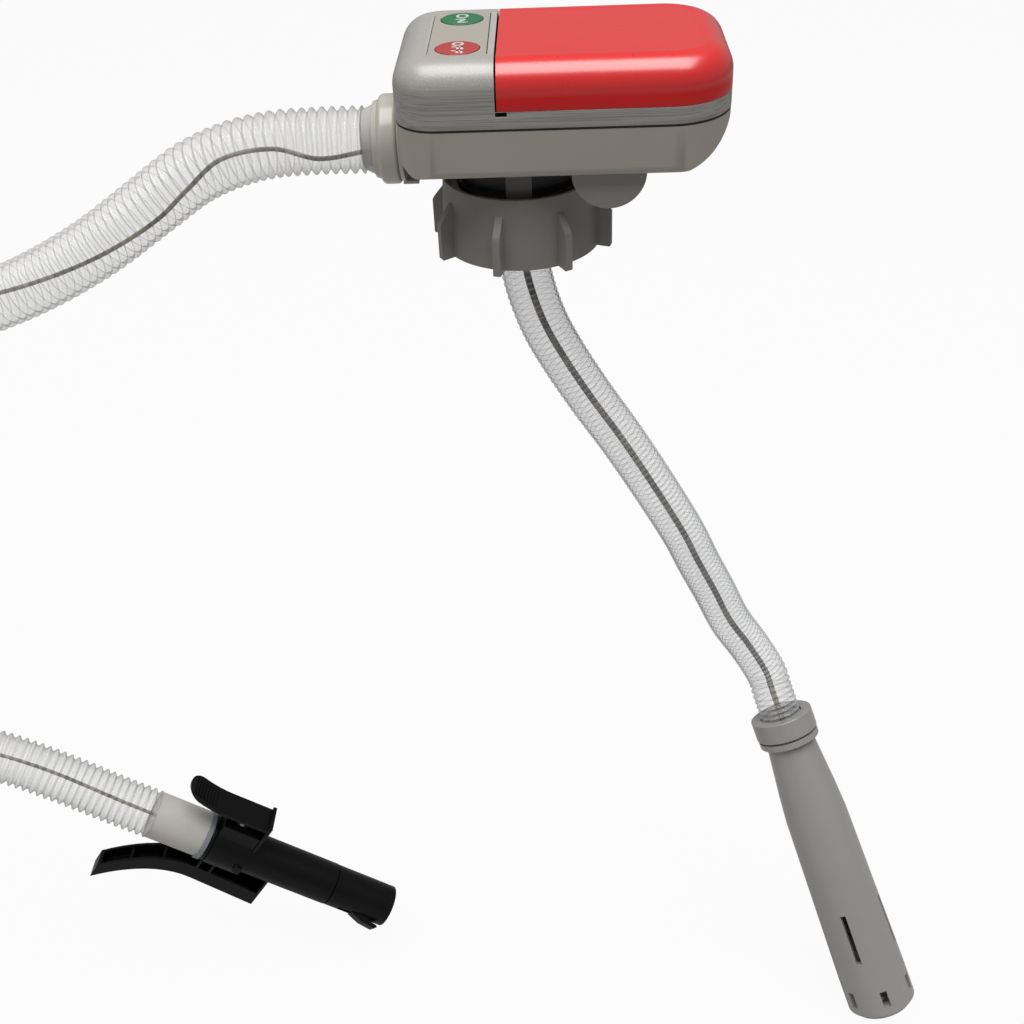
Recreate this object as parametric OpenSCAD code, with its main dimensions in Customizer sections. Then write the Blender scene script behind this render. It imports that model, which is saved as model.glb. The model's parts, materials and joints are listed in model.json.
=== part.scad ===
// Battery transfer pump: a two-button pump head on a screw cap, a clear ribbed
// discharge hose with a clip-on nozzle, and a suction hose with the motor in its foot.
// The origin lies on the cap's axis at the underside of the gasket, where a tank's
// rim bears. +X runs towards the battery end, -Y towards the front, +Z up.

/* [Case] */
// Length of the pump head
case_l = 133; // [128:1:150]
// Width of the pump head
case_w = 84; // [80:1:96]
// Height of the lower case
lower_h = 20; // [18:0.5:26]
// Height of the upper case from the seam to its flat top
upper_h = 25.3; // [25:0.1:30]
// Cap axis to the outlet end of the case
neck_inset = 47.8; // [46:0.2:52]
// Tank rim to the underside of the case
stand_h = 22.9; // [22:0.1:28]
// Plan corner radius at the outlet end
left_r = 17; // [15:0.5:19]
// Plan corner radius at the battery end
right_r = 25; // [22:0.5:27]
// Radius of the rounded top edges
edge_r = 11; // [8:0.5:12]
// Radius of the lower case's bottom edges at the outlet end
keel_r = 10; // [6:0.5:11]
// Radius of the lower case's long bottom edges
side_r = 4; // [3:0.5:5]
// Length of the swept-up underside at the battery end
sweep_l = 26.2; // [24:0.2:30]
// Moulded wall of the case and the cover
wall = 2.2; // [1.8:0.1:2.6]
// Height of the grey band under the battery cover
band_h = 7.2; // [6.6:0.1:9]
// Length of the grey part of the top
grey_l = 40; // [39.5:0.5:44]
// Slit between the grey top and the battery cover
slit = 0.8; // [0.6:0.1:1.2]
// Thickness of the deck under the batteries
deck_t = 2; // [1.6:0.1:2.4]

/* [Buttons] */
// Length of the button panel along the case
panel_l = 23.3; // [22:0.1:24]
// Room beside the button panel to each side of the case
panel_margin = 9.9; // [9:0.1:12]
// Thickness of the button panel
panel_t = 1.2; // [0.8:0.1:1.4]
// Corner radius of the button panel
panel_r = 2.5; // [1:0.5:4]
// Radius of each button
button_r = 8.6; // [8:0.1:9]
// Each button's centre to the panel's near end
button_in = 12.45; // [11.6:0.05:13.2]
// Height of a button above the panel
button_rise = 0.2; // [0.1:0.05:0.5]
// Travel of a button
button_travel = 0.6; // [0.4:0.1:0.7]

/* [Batteries] */
// Diameter of one cell
cell_d = 14.5; // [13.5:0.1:14.5]
// Length of one cell with its nub
cell_l = 50.5; // [49.5:0.1:50.5]
// Spacing of the cells
cell_pitch = 15.5; // [15.1:0.1:15.6]
// Wall of the battery tray
tray_wall = 1.6; // [1.2:0.1:1.8]
// Room for the contact springs at each end of the cells
contact_room = 3.2; // [3:0.1:3.6]
// Thickness of the contact plates
contact_t = 0.5; // [0.3:0.1:0.6]

/* [Cap and neck] */
// Radius of the cap's skirt at its bottom
cap_r = 34; // [33.6:0.1:36]
// Radius of the cap at its top rim
cap_top_r = 33; // [32.6:0.1:33.4]
// Radius of the opening in the cap's top rim
rim_open_r = 31.5; // [31:0.1:32]
// Radius inside the cap's thread
thread_r = 30.6; // [30.3:0.1:31]
// Depth of the skirt below the gasket
skirt_h = 20; // [16:0.5:24]
// Height of the cap above the gasket's underside
cap_rise = 10.5; // [10:0.1:10.6]
// Number of grip fins on the cap
fins = 8; // [6:1:12]
// Reach of a fin from the cap's axis
fin_reach = 39.8; // [38:0.2:41]
// Thickness of a fin
fin_t = 3.2; // [2:0.2:4]
// Turn of the first fin from the front
fin_turn = 14.7; // [0:0.1:40]
// Outer radius of the black neck collar
neck_r = 26.2; // [25.8:0.1:26.6]
// Bore of the neck collar
neck_bore_r = 22; // [21.4:0.1:22.4]
// Radius of the neck collar's flange
flange_r = 29.8; // [29:0.1:30]
// Thickness of the neck collar's flange
flange_t = 2.5; // [2:0.1:2.6]
// Thickness of the gasket
gasket_t = 2; // [1.5:0.1:2.2]
// Inner radius of the gasket
gasket_in_r = 24; // [22:0.2:25]

/* [Outlet] */
// Height of the outlet's axis above the case's underside
outlet_lift = 2.8; // [2:0.1:4]
// Outer radius of the flow pipe
pipe_r = 13; // [12.6:0.1:13.2]
// Bore of the flow pipe
pipe_bore_r = 10.5; // [9.5:0.1:10.8]
// Outer radius of the outlet nut
nut_r = 18.3; // [18:0.1:19]
// Length of the outlet nut
nut_l = 8; // [7.6:0.2:10]
// Bore of the outlet nut
nut_bore_r = 16.8; // [16.6:0.1:17]
// Thickness of the flange behind the outlet nut
pipe_flange_t = 1.6; // [1.2:0.1:2]

/* [Rest tab] */
// Radius of the half-round rest tab
tab_r = 15; // [12:0.5:16]
// Thickness of the rest tab
tab_t = 2.2; // [1.6:0.1:2.8]
// Rest tab's centre to the cap's axis
tab_x = 36.3; // [34:0.5:40]

/* [Hoses] */
// Outer diameter of the discharge hose
hose_d = 27.8; // [27:0.1:28]
// Inner diameter of the discharge hose
hose_bore_d = 21.5; // [20:0.1:22]
// Ribs along the discharge hose
hose_ribs = 132; // [80:1:136]
// Outer diameter of the suction hose
suction_d = 22.5; // [21.5:0.1:22.6]
// Inner diameter of the suction hose
suction_bore_d = 17.6; // [17.5:0.1:18]
// Ribs along the suction hose
suction_ribs = 56; // [30:1:60]
// Depth of the grooves between ribs
rib_depth = 1.8; // [1.2:0.1:2]
// Diameter of the sensor cable in the discharge hose
sensor_d = 2; // [1.6:0.1:2.4]
// Diameter of the motor cable in the suction hose
cable_d = 3.2; // [2.6:0.1:3.6]

/* [Nozzle] */
// Outer radius of the nozzle tube
tube_r = 12.2; // [12:0.1:12.6]
// Bore of the nozzle tube
tube_bore_r = 10; // [9.6:0.1:10.4]
// Length of the nozzle tube
tube_l = 79; // [76:0.5:90]
// Length of the nozzle's tip
tip_l = 37.5; // [34:0.5:44]
// Length of the clear cuff
cuff_l = 34; // [30:0.5:40]
// Outer radius of the clear cuff
cuff_r = 13.3; // [13.2:0.1:13.6]
// Wall of the clear cuff
cuff_wall = 1.8; // [1.4:0.1:1.9]
// Downward slope of the nozzle
nozzle_slope = 33.6; // [30:0.2:37]
// Height of the grip housing above the nozzle's axis
housing_h = 22; // [20:0.5:24]
// Length of the grip housing along the nozzle
housing_l = 22; // [18:0.5:23]
// Length of the thumb paddle
paddle_l = 53; // [46:0.5:56]
// Width of the thumb paddle
paddle_w = 16.6; // [14:0.2:18]
// Height of the thumb paddle above the nozzle's axis
paddle_h = 29; // [28:0.2:31]
// Thickness of the thumb paddle
paddle_t = 2; // [1.6:0.1:2.4]
// Width of the finger grip
grip_w = 12; // [10:0.2:14]
// Height of the finger grip's channel
grip_h = 10.4; // [9:0.2:12]
// Wall of the finger grip
grip_wall = 1.6; // [1.2:0.1:2]

/* [Foot] */
// Length of the foot
foot_l = 182; // [178:1:200]
// Length of the strainer below the foot housing
strainer_l = 22; // [18:0.5:26]
// Outer radius of the hose nut on the foot
foot_nut_r = 17; // [16.6:0.1:18]
// Length of the hose nut on the foot
foot_nut_l = 11; // [10:0.2:12]
// Radius of the foot below its flange
foot_neck_r = 13.6; // [13.4:0.1:14.6]
// Radius of the foot at its belly
foot_belly_r = 17.2; // [17:0.1:18]
// Radius of the foot at its lower end
foot_end_r = 19; // [18.2:0.1:20]
// Radius of the pump chamber in the foot
chamber_r = 15; // [14.6:0.1:15.2]
// Radius of the motor
motor_r = 12; // [10:0.1:12.1]
// Length of the motor
motor_l = 28; // [24:0.5:30]
// Radius of the motor shaft
shaft_r = 1; // [0.8:0.05:1.2]
// Radius of the impeller
impeller_r = 12.5; // [10:0.1:13.5]
// Number of impeller blades
blades = 6; // [4:1:9]
// Number of intake slots
slots = 4; // [3:1:6]
// Housing left below an intake slot
slot_land = 13.8; // [10:0.2:20]
// Width of an intake slot
slot_w = 3; // [2:0.1:5]

/* [Fits] */
// Gap round a piece that moves
move_gap = 0.35; // [0.3:0.05:0.45]
// Radial clearance of a shaft in its bearing
run_gap = 0.05; // [0.02:0.01:0.08]
// Gap between pieces that are assembled and stay put
fit_gap = 0.2; // [0.1:0.05:0.25]

/* [Hidden] */
$fn = 96;

over = 1; // overrun of every cut
x0 = -neck_inset;
x1 = case_l - neck_inset;
half_w = case_w / 2;
z_under = stand_h;
z_seam = z_under + lower_h;
z_top = z_seam + upper_h;
z_band = z_seam + band_h;
z_out = z_under + outlet_lift;
groove_x = x0 + grey_l;

// Plan of the case, drawn in by an inset
module plan(inset = 0) {
    for (s = [-1, 1]) {
        translate([x0 + left_r, s * (half_w - left_r)]) circle(left_r - inset);
        translate([x1 - right_r, s * (half_w - right_r)]) circle(right_r - inset);
    }
    translate([x0 + left_r, inset - half_w])
        square([case_l - left_r - right_r, case_w - 2 * inset]);
    translate([x0 + inset, left_r - half_w])
        square([left_r, case_w - 2 * left_r]);
    translate([x1 - right_r - inset, right_r - half_w])
        square([right_r, case_w - 2 * right_r]);
}

// Section of a rounded edge: reach r, height h, edge radius e
module edge(r, e, h) {
    square([r, h - e]);
    square([r - e, h]);
    intersection() {
        translate([r - e, h - e]) circle(e);
        translate([r - e, h - e]) square(e);
    }
}

// The case's rounded top, drawn in by an inset
module dome(inset) {
    e = edge_r - inset;
    h = upper_h - inset;
    span = case_l - left_r - right_r;
    for (s = [-1, 1]) {
        translate([x0 + left_r, s * (half_w - left_r), z_seam])
            rotate_extrude() edge(left_r - inset, e, h);
        translate([x1 - right_r, s * (half_w - right_r), z_seam])
            rotate_extrude() edge(right_r - inset, e, h);
    }
    translate([x0 + left_r, 0, z_seam]) rotate([90, 0, 90]) linear_extrude(span) {
        edge(half_w - inset, e, h);
        mirror([1, 0]) edge(half_w - inset, e, h);
    }
    translate([x0 + left_r, half_w - left_r, z_seam]) rotate([90, 0, 0])
        linear_extrude(case_w - 2 * left_r) mirror([1, 0]) edge(left_r - inset, e, h);
    translate([x1 - right_r, half_w - right_r, z_seam]) rotate([90, 0, 0])
        linear_extrude(case_w - 2 * right_r) edge(right_r - inset, e, h);
}

// A box from its lowest to its highest corner
module box(low, high) {
    translate(low) cube(high - low);
}

// A cylinder along +X from x_a to x_b on a given axis
module bar_x(r, x_a, x_b, y, z) {
    translate([x_a, y, z]) rotate([0, 90, 0]) cylinder(r = r, h = x_b - x_a);
}

// A cylinder along +Y from y_a to y_b on a given axis
module bar_y(r, y_a, y_b, x, z) {
    translate([x, y_a, z]) rotate([-90, 0, 0]) cylinder(r = r, h = y_b - y_a);
}

// Side view of the lower case, drawn in by an inset
sweep_past = 0.6;
sweep_r = (pow(sweep_l + sweep_past, 2) + pow(lower_h, 2)) / (2 * lower_h);
module keel(inset) {
    r = keel_r - inset;
    big = sweep_r - inset;
    difference() {
        union() {
            translate([x0 + inset, z_under + keel_r]) square([keel_r, lower_h - keel_r + over]);
            translate([x0 + keel_r, z_under + keel_r]) circle(r);
            translate([x0 + keel_r, z_under + inset])
                square([case_l - keel_r - sweep_l, lower_h - inset + over]);
            intersection() {
                translate([x1 - sweep_l, z_under + sweep_r]) circle(big);
                translate([x1 - sweep_l, z_under]) square([sweep_l + over, lower_h + over]);
            }
        }
        translate([x0 - over, z_seam + over]) square([case_l + 2 * over, lower_h]);
    }
}

// End view of the lower case, drawn in by an inset
module belly(inset) {
    r = side_r - inset;
    for (s = [-1, 1]) translate([s * (half_w - side_r), z_under + side_r]) circle(r);
    translate([side_r - half_w, z_under + inset])
        square([case_w - 2 * side_r, lower_h - inset + over]);
    translate([inset - half_w, z_under + side_r])
        square([case_w - 2 * inset, lower_h - side_r + over]);
}

// The lower case's outer form, drawn in by an inset
module hull_form(inset, lift) {
    intersection() {
        translate([0, 0, z_under]) linear_extrude(lower_h + lift) plan(inset);
        translate([0, half_w + over, 0]) rotate([90, 0, 0])
            linear_extrude(case_w + 2 * over) keel(inset);
        translate([x0 - over, 0, 0]) rotate([90, 0, 90])
            linear_extrude(case_l + 2 * over) belly(inset);
    }
}

// Case screws: places, and the seat of their heads
boss_r = 5;
screw_r = 1.5;
head_r = 3;
head_h = 2;
head_depth = 8;
head_seat = z_under + head_depth;
screw_bite = 5;
boss_out = 5;
boss_far_x = 11;
boss_far_y = 1;
case_bosses = [
    [x0 + left_r - boss_out, half_w - left_r + boss_out],
    [x0 + left_r - boss_out, left_r - boss_out - half_w],
    [x1 - right_r + boss_far_x, half_w - right_r + boss_far_y],
    [x1 - right_r + boss_far_x, right_r - boss_far_y - half_w]
];

// Pipe housing under the case, and the hooks that hold the neck collar
saddle_wall = 1.8;
saddle_r = pipe_r + saddle_wall;
saddle_bore_r = pipe_r + fit_gap;
hook_w = 10.6;
hook_t = 2;
hook_gap = 0.3;
hook_foot = 8.6;
hook_drop = stand_h - hook_foot;
nib = 1.5;
nib_h = 2;
hook_in = neck_r + hook_gap;
hook_angles = [-90, 0, 90];
tab_in = 5.6;
tab_y = tab_in - half_w;
tongue_l = 18;
tongue_head = 1.2;

module lower_case() {
    color("#9a9488") {
        difference() {
            union() {
                difference() {
                    hull_form(0, 0);
                    hull_form(wall, over);
                }
                intersection() {
                    hull_form(0, 0);
                    for (p = case_bosses) translate([p.x, p.y, z_under])
                        cylinder(r = boss_r, h = lower_h);
                }
                bar_x(saddle_r, x0, -hook_in - hook_t - over, 0, z_out);
            }
            bar_x(saddle_bore_r, x0 - over, 0, 0, z_out);
            box([-neck_bore_r, -pipe_r - fit_gap, z_under - over],
                [0, pipe_r + fit_gap, z_out + over]);
            translate([0, 0, z_under - over])
                cylinder(r = neck_bore_r, h = wall + 2 * over);
            for (p = case_bosses) translate([p.x, p.y, z_under - over]) {
                cylinder(r = head_r + fit_gap, h = head_seat - z_under + over);
                cylinder(r = screw_r + fit_gap, h = lower_h + 2 * over);
            }
            box([tab_x - tongue_l / 2 - fit_gap, tab_y - tab_t / 2 - fit_gap, z_under - over],
                [tab_x + tongue_l / 2 + fit_gap, tab_y + tab_t / 2 + fit_gap, z_under + wall + over]);
        }
        for (a = hook_angles) intersection() {
            translate([0, 0, z_under - hook_drop]) difference() {
                cylinder(r = hook_in + hook_t, h = hook_drop + wall / 2);
                translate([0, 0, nib_h + over])
                    cylinder(r = hook_in, h = hook_drop + wall);
                translate([0, 0, -over]) cylinder(r = hook_in - nib, h = hook_drop);
            }
            rotate([0, 0, a]) box([0, -hook_w / 2, 0], [half_w, hook_w / 2, z_seam]);
        }
    }
}

// Button panel, its bed in the top, and what hangs from it
panel_in = 14;
panel_x = x0 + panel_in + panel_l / 2;
panel_w = case_w - 2 * panel_margin;
bed_t = 1;
bed_margin = 1.5;
z_bed = z_top - wall - bed_t;
button_y = panel_w / 2 - button_in;
button_hole_r = button_r + move_gap;
button_lip = 1.6;
button_lip_t = 1;
stem_r = 2.2;
board_t = 1.6;
board_drop = 15.5;
board_out = 6.6;
board_gap = 0.6;
board_side = 0.5;
board_top = z_top - board_drop;
board_x0 = x0 + wall + board_out;
board_x1 = groove_x - wall - board_gap;
board_w = case_w - 2 * (left_r + board_side);
post_r = 2.6;
board_screw_r = 1.2;
board_head_r = 2.3;
board_head_h = 1.4;
board_grip = 5;
post_in = 2.8;
post_y_share = 0.5714;
post_y = post_y_share * board_w / 2;
posts = [
    [board_x0 + post_in, post_y], [board_x0 + post_in, -post_y], [board_x1 - post_in, 0]
];
switch_w = 6;
switch_h = 3.6;
plunger_r = 1.6;
plunger_h = 1.4;

// Battery bay
tray_back = 10;
tray_x0 = groove_x + tray_back;
tray_l = cell_l + 2 * (contact_room + tray_wall);
tray_w = 4 * cell_pitch + 2 * tray_wall;
tray_lip = 1.4;
tray_lip_t = 1.2;
cell_rise = 6;
cell_z = z_band + cell_rise;
tray_floor = cell_z - cell_d / 2 - tray_wall - fit_gap;
tray_rim = 3;
nub_r = 2.75;
nub_l = 1.4;
contact_over = 1;
contact_top = cell_z + nub_r + contact_over;
lead_r = 0.8;
lead_y = 8;
lead_z = board_top - board_t / 2;

// Slide rails of the battery cover
rail_gap = 0.6;
rail_in = 3;
rail_out = 2;
rail_y = tray_w / 2 + tray_lip + rail_gap;
rail_t = 1.2;
rail_h = 3;
rail_lip = 1.4;
rail_lip_t = 1.1;
rail_x0 = groove_x + rail_in;
rail_x1 = x1 - right_r - rail_out;
rib_h = rail_h - rail_lip_t - 2 * fit_gap;
rib_in = rail_y + rail_t + 2 * fit_gap;

// Thumb-nail notch at the cover's front corner
notch_l = 4.6;
notch_h = 1.7;

module upper_case() {
    color("#b9b7b2") difference() {
        union() {
            difference() {
                dome(0);
                translate([0, 0, -over]) dome(wall);
                box([groove_x, -half_w - over, z_band], [x1 + over, half_w + over, z_top + over]);
                translate([0, 0, z_seam - over]) linear_extrude(2 * over) plan(wall);
            }
            intersection() {
                dome(0);
                union() {
                    box([groove_x - wall, -half_w, z_seam], [groove_x, half_w, z_top]);
                    box([groove_x - wall, -half_w, z_band - deck_t], [x1, half_w, z_band]);
                    box([panel_x - panel_l / 2 - bed_margin, -panel_w / 2 - bed_margin, z_bed],
                        [panel_x + panel_l / 2 + bed_margin, panel_w / 2 + bed_margin, z_top]);
                    for (p = posts) translate([p.x, p.y, board_top])
                        cylinder(r = post_r, h = z_top - board_top);
                    for (k = [0:3]) translate([case_bosses[k].x, case_bosses[k].y, z_seam])
                        cylinder(r = boss_r, h = (k < 2 ? z_top : z_band) - z_seam);
                }
            }
            for (s = [-1, 1]) rail(s);
        }
        panel_cut();
        for (s = [-1, 1]) translate([panel_x, s * button_y, z_bed - over])
            cylinder(r = button_hole_r, h = z_top - z_bed + 2 * over);
        for (p = posts) translate([p.x, p.y, board_top - over])
            cylinder(r = board_screw_r + run_gap, h = board_grip + 2 * over);
        for (p = case_bosses) translate([p.x, p.y, z_seam - over])
            cylinder(r = screw_r + run_gap, h = screw_bite + 2 * over);
        box([tray_x0 - fit_gap, -tray_w / 2 - fit_gap, z_seam],
            [tray_x0 + tray_l + fit_gap, tray_w / 2 + fit_gap, z_band + over]);
        for (s = [-1, 1]) bar_x(lead_r + fit_gap, groove_x - wall - over, groove_x + over,
            s * lead_y, lead_z);
        for (s = [-1, 1]) box([groove_x, s > 0 ? half_w - wall : -half_w - over, z_band - notch_h],
            [groove_x + notch_l, s > 0 ? half_w + over : wall - half_w, z_band + over]);
    }
}

// The recess that holds the button panel
module panel_cut() {
    translate([0, 0, z_top - panel_t]) linear_extrude(panel_t + over) panel_plan(fit_gap);
}

module panel_plan(grow) {
    l = panel_l / 2 + grow;
    w = panel_w / 2 + grow;
    r = panel_r + grow;
    translate([panel_x, 0]) {
        for (s = [-1, 1]) for (t = [-1, 1]) translate([s * (l - r), t * (w - r)]) circle(r);
        square([2 * l, 2 * (w - r)], center = true);
        square([2 * (l - r), 2 * w], center = true);
    }
}

// A rail on the deck: an upright web with a lip that the cover's rib runs under
module rail(s) {
    low = s > 0 ? rail_y : -rail_y - rail_t;
    lip_low = s > 0 ? rail_y : -rail_y - rail_t - rail_lip;
    box([rail_x0, low, z_band - deck_t / 2], [rail_x1, low + rail_t, z_band + rail_h]);
    box([rail_x0, lip_low, z_band + rail_h - rail_lip_t],
        [rail_x1, lip_low + rail_t + rail_lip, z_band + rail_h]);
}

module battery_cover() {
    color("#d21f1c") {
        difference() {
            dome(0);
            dome(wall);
            box([x0 - over, -half_w - over, z_seam - over],
                [groove_x + slit, half_w + over, z_top + over]);
            box([x0 - over, -half_w - over, z_seam - over],
                [x1 + over, half_w + over, z_band]);
        }
        for (s = [-1, 1]) {
            low = s > 0 ? rib_in : wall / 2 - half_w;
            box([rail_x0, low, z_band], [rail_x1, low + half_w - wall / 2 - rib_in, z_band + rib_h]);
        }
    }
}

module battery_tray() {
    color("#3a3b3d") difference() {
        union() {
            box([tray_x0, -tray_w / 2, tray_floor],
                [tray_x0 + tray_l, tray_w / 2, z_band + tray_rim]);
            box([tray_x0 - tray_lip, -tray_w / 2 - tray_lip, z_band],
                [tray_x0 + tray_l + tray_lip, tray_w / 2 + tray_lip, z_band + tray_lip_t]);
            for (x = [tray_x0, tray_x0 + tray_l - tray_wall])
                box([x, -tray_w / 2, z_band], [x + tray_wall, tray_w / 2, contact_top]);
        }
        for (k = [0:3]) {
            y = (k - 1.5) * cell_pitch;
            bar_x(cell_d / 2 + fit_gap, tray_x0 + tray_wall,
                tray_x0 + tray_l - tray_wall, y, cell_z);
            for (s = [0, 1]) {
                cx = s > 0 ? tray_x0 + tray_l - tray_wall - contact_room / 2 : tray_x0 + tray_wall;
                box([cx, y - cell_d / 2 + over, tray_floor + tray_wall],
                    [cx + contact_room / 2, y + cell_d / 2 - over, z_band + tray_rim + over]);
            }
        }
        for (s = [-1, 1]) bar_x(lead_r + fit_gap, tray_x0 - tray_lip - over,
            tray_x0 + tray_wall + over, s * lead_y, lead_z);
    }
}

module battery_cells() {
    color("#2c5a9a") for (k = [0:3]) {
        turn = k % 2 == 0 ? 0 : 1;
        y = (k - 1.5) * cell_pitch;
        start = tray_x0 + tray_wall + contact_room;
        bar_x(cell_d / 2, start + (turn > 0 ? nub_l : 0),
            start + cell_l - (turn > 0 ? 0 : nub_l), y, cell_z);
        bar_x(nub_r, turn > 0 ? start : start + cell_l - nub_l - over,
            turn > 0 ? start + nub_l + over : start + cell_l, y, cell_z);
    }
}

// A contact plate against the tray's end wall, with a dimple that meets its cell
module contact(k, s) {
    y = (k - 1.5) * cell_pitch;
    in_x = s > 0 ? tray_x0 + tray_l - tray_wall - contact_t : tray_x0 + tray_wall;
    box([in_x, y - cell_d / 2 + 2 * over, tray_floor + tray_wall],
        [in_x + contact_t, y + cell_d / 2 - 2 * over, contact_top]);
    tip = s > 0 ? tray_x0 + tray_l - tray_wall - contact_room : tray_x0 + tray_wall + contact_room;
    bar_x(nub_r, s > 0 ? tip : in_x, s > 0 ? in_x + contact_t : tip, y, cell_z);
}

module positive_contacts() {
    color("#c9c6bf") for (k = [0:3]) contact(k, k % 2 == 0 ? 1 : -1);
}

module negative_contacts() {
    color("#c9c6bf") for (k = [0:3]) contact(k, k % 2 == 0 ? -1 : 1);
}

module battery_leads() {
    color("#b8262a") for (s = [-1, 1])
        bar_x(lead_r, board_x1, tray_x0 + tray_wall, s * lead_y, lead_z);
}

module case_screws() {
    color("#a9abad") for (p = case_bosses) translate([p.x, p.y, 0]) {
        translate([0, 0, head_seat - head_h]) cylinder(r = head_r, h = head_h);
        translate([0, 0, head_seat - head_h])
            cylinder(r = screw_r, h = z_seam + screw_bite - head_seat + head_h);
    }
}

module button_panel() {
    color("#b3aa9b") difference() {
        translate([0, 0, z_top - panel_t]) linear_extrude(panel_t) panel_plan(-fit_gap);
        for (s = [-1, 1]) translate([panel_x, s * button_y, z_top - panel_t - over])
            cylinder(r = button_hole_r, h = panel_t + 2 * over);
    }
}

// A button: a disc in the panel's hole, a lip under the bed and a stem
module button(s) {
    stem_low = board_top + switch_h + plunger_h + button_travel + fit_gap;
    lip_top = z_bed - move_gap;
    translate([panel_x, s * button_y, 0]) {
        translate([0, 0, lip_top - over])
            cylinder(r = button_r, h = z_top + button_rise - lip_top + over);
        translate([0, 0, lip_top - button_lip_t])
            cylinder(r = button_r + button_lip, h = button_lip_t);
        translate([0, 0, stem_low]) cylinder(r = stem_r, h = lip_top - stem_low);
    }
}

module on_button() {
    color("#1f7a46") button(1);
}

module off_button() {
    color("#cf4a48") button(-1);
}

module control_board() {
    color("#2f6b45") difference() {
        box([board_x0, -board_w / 2, board_top - board_t], [board_x1, board_w / 2, board_top]);
        for (p = posts) translate([p.x, p.y, board_top - board_t - over])
            cylinder(r = board_screw_r + fit_gap, h = board_t + 2 * over);
    }
}

module tact_switches() {
    color("#3c3d40") for (s = [-1, 1]) translate([panel_x, s * button_y, board_top]) {
        translate([-switch_w / 2, -switch_w / 2, 0]) cube([switch_w, switch_w, switch_h]);
        cylinder(r = plunger_r, h = switch_h + plunger_h);
    }
}

module board_screws() {
    color("#c3c4c2") for (p = posts) translate([p.x, p.y, board_top - board_t - board_head_h]) {
        cylinder(r = board_head_r, h = board_head_h);
        cylinder(r = board_screw_r, h = board_head_h + board_t + board_grip);
    }
}

// Flow elbow: the neck's pipe, the outlet pipe with its flange and spigot
seat_r = neck_bore_r - fit_gap;
step_h = 4;
step_in = 3;
step_bore_r = neck_bore_r - step_in;
z_seat = gasket_t + step_h;
plate_t = 2;
hose_sides = 8;
barb_wall = 1.6;
barb_r = suction_bore_d / 2 * cos(180 / hose_sides) - fit_gap;
barb_bore_r = barb_r - barb_wall;
barb_l = 14;
flange_step = 1.2;
pipe_flange_r = nut_r - flange_step;
ferrule_gap = 0.4;
spigot_r = nut_bore_r - ferrule_gap;
nose_t = 1.6;
ferrule_flange_t = 1.2;
spigot_back = 0.6;
spigot_l = nut_l - nose_t - ferrule_flange_t - spigot_back;
nut_x0 = x0 - pipe_flange_t - move_gap - nut_l;
gland_x = -21.5;
gland_r = 4;
gland_flange_r = 6;
gland_flange_t = 1.4;
gland_depth = 3;
gland_rise = 1;
z_gland = z_out + pipe_r + gland_rise;
clip_w = 8;
clip_t = 1.3;
clip_l = 5;
seal_cs = 1;
seal_in = 2.4;
seal_ring_r = spigot_r - seal_in;

module flow_elbow() {
    color("#d6d2c6") difference() {
        union() {
            bar_x(pipe_r, x0, 0, 0, z_out);
            translate([0, 0, gasket_t]) cylinder(r = pipe_r, h = z_out - gasket_t);
            translate([0, 0, z_out]) sphere(pipe_r);
            translate([0, 0, z_seat]) cylinder(r = seat_r, h = plate_t);
            translate([0, 0, gasket_t - barb_l]) cylinder(r = barb_r, h = barb_l + over);
            bar_x(pipe_flange_r, x0 - pipe_flange_t, x0, 0, z_out);
            bar_x(spigot_r, x0 - pipe_flange_t - spigot_l, x0, 0, z_out);
            translate([gland_x, 0, z_out]) cylinder(r = gland_flange_r, h = z_gland - z_out);
            box([x0 - pipe_flange_t, -clip_w / 2, z_out - pipe_flange_r - clip_t],
                [x0, clip_w / 2, z_out]);
            box([x0 - pipe_flange_t, -clip_w / 2, z_out - pipe_flange_r - clip_t],
                [x0 + clip_l, clip_w / 2, z_out - pipe_flange_r]);
        }
        bar_x(pipe_bore_r, x0 - pipe_flange_t - spigot_l - over, 0, 0, z_out);
        translate([0, 0, z_seat]) cylinder(r = pipe_bore_r, h = z_out - z_seat);
        translate([0, 0, z_out]) sphere(pipe_bore_r);
        translate([0, 0, gasket_t - barb_l - over])
            cylinder(r = barb_bore_r, h = z_seat + barb_l);
        translate([gland_x, 0, z_out]) cylinder(r = gland_r + fit_gap, h = pipe_r + 2 * over);
        seal_groove(x0 - pipe_flange_t - spigot_l, seal_ring_r);
    }
}

// The groove for the face seal in the spigot's end
module seal_groove(x, r) {
    difference() {
        bar_x(r + seal_cs, x - over, x + seal_cs, 0, z_out);
        bar_x(r - seal_cs, x - 2 * over, x + 2 * over, 0, z_out);
    }
}

module outlet_seal() {
    x = x0 - pipe_flange_t - spigot_l;
    r = seal_ring_r;
    color("#2b2b2d") difference() {
        bar_x(r + seal_cs - run_gap, ferrule_x1, x + seal_cs, 0, z_out);
        bar_x(r - seal_cs + run_gap, x - over, x + 2 * over, 0, z_out);
    }
}

module cable_gland() {
    color("#2b2b2d") translate([gland_x, 0, 0]) {
        translate([0, 0, z_gland]) cylinder(r = gland_flange_r - fit_gap, h = gland_flange_t);
        translate([0, 0, z_gland - gland_depth]) cylinder(r = gland_r, h = gland_depth + over);
    }
}

module lead_wires() {
    wire_r = 0.6;
    wire_pitch = 2;
    color("#d8b23a") for (k = [0:3])
        translate([gland_x + (k - 1.5) * wire_pitch, 0, z_gland + gland_flange_t])
        cylinder(r = wire_r, h = board_top - board_t - z_gland - gland_flange_t);
}

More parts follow.
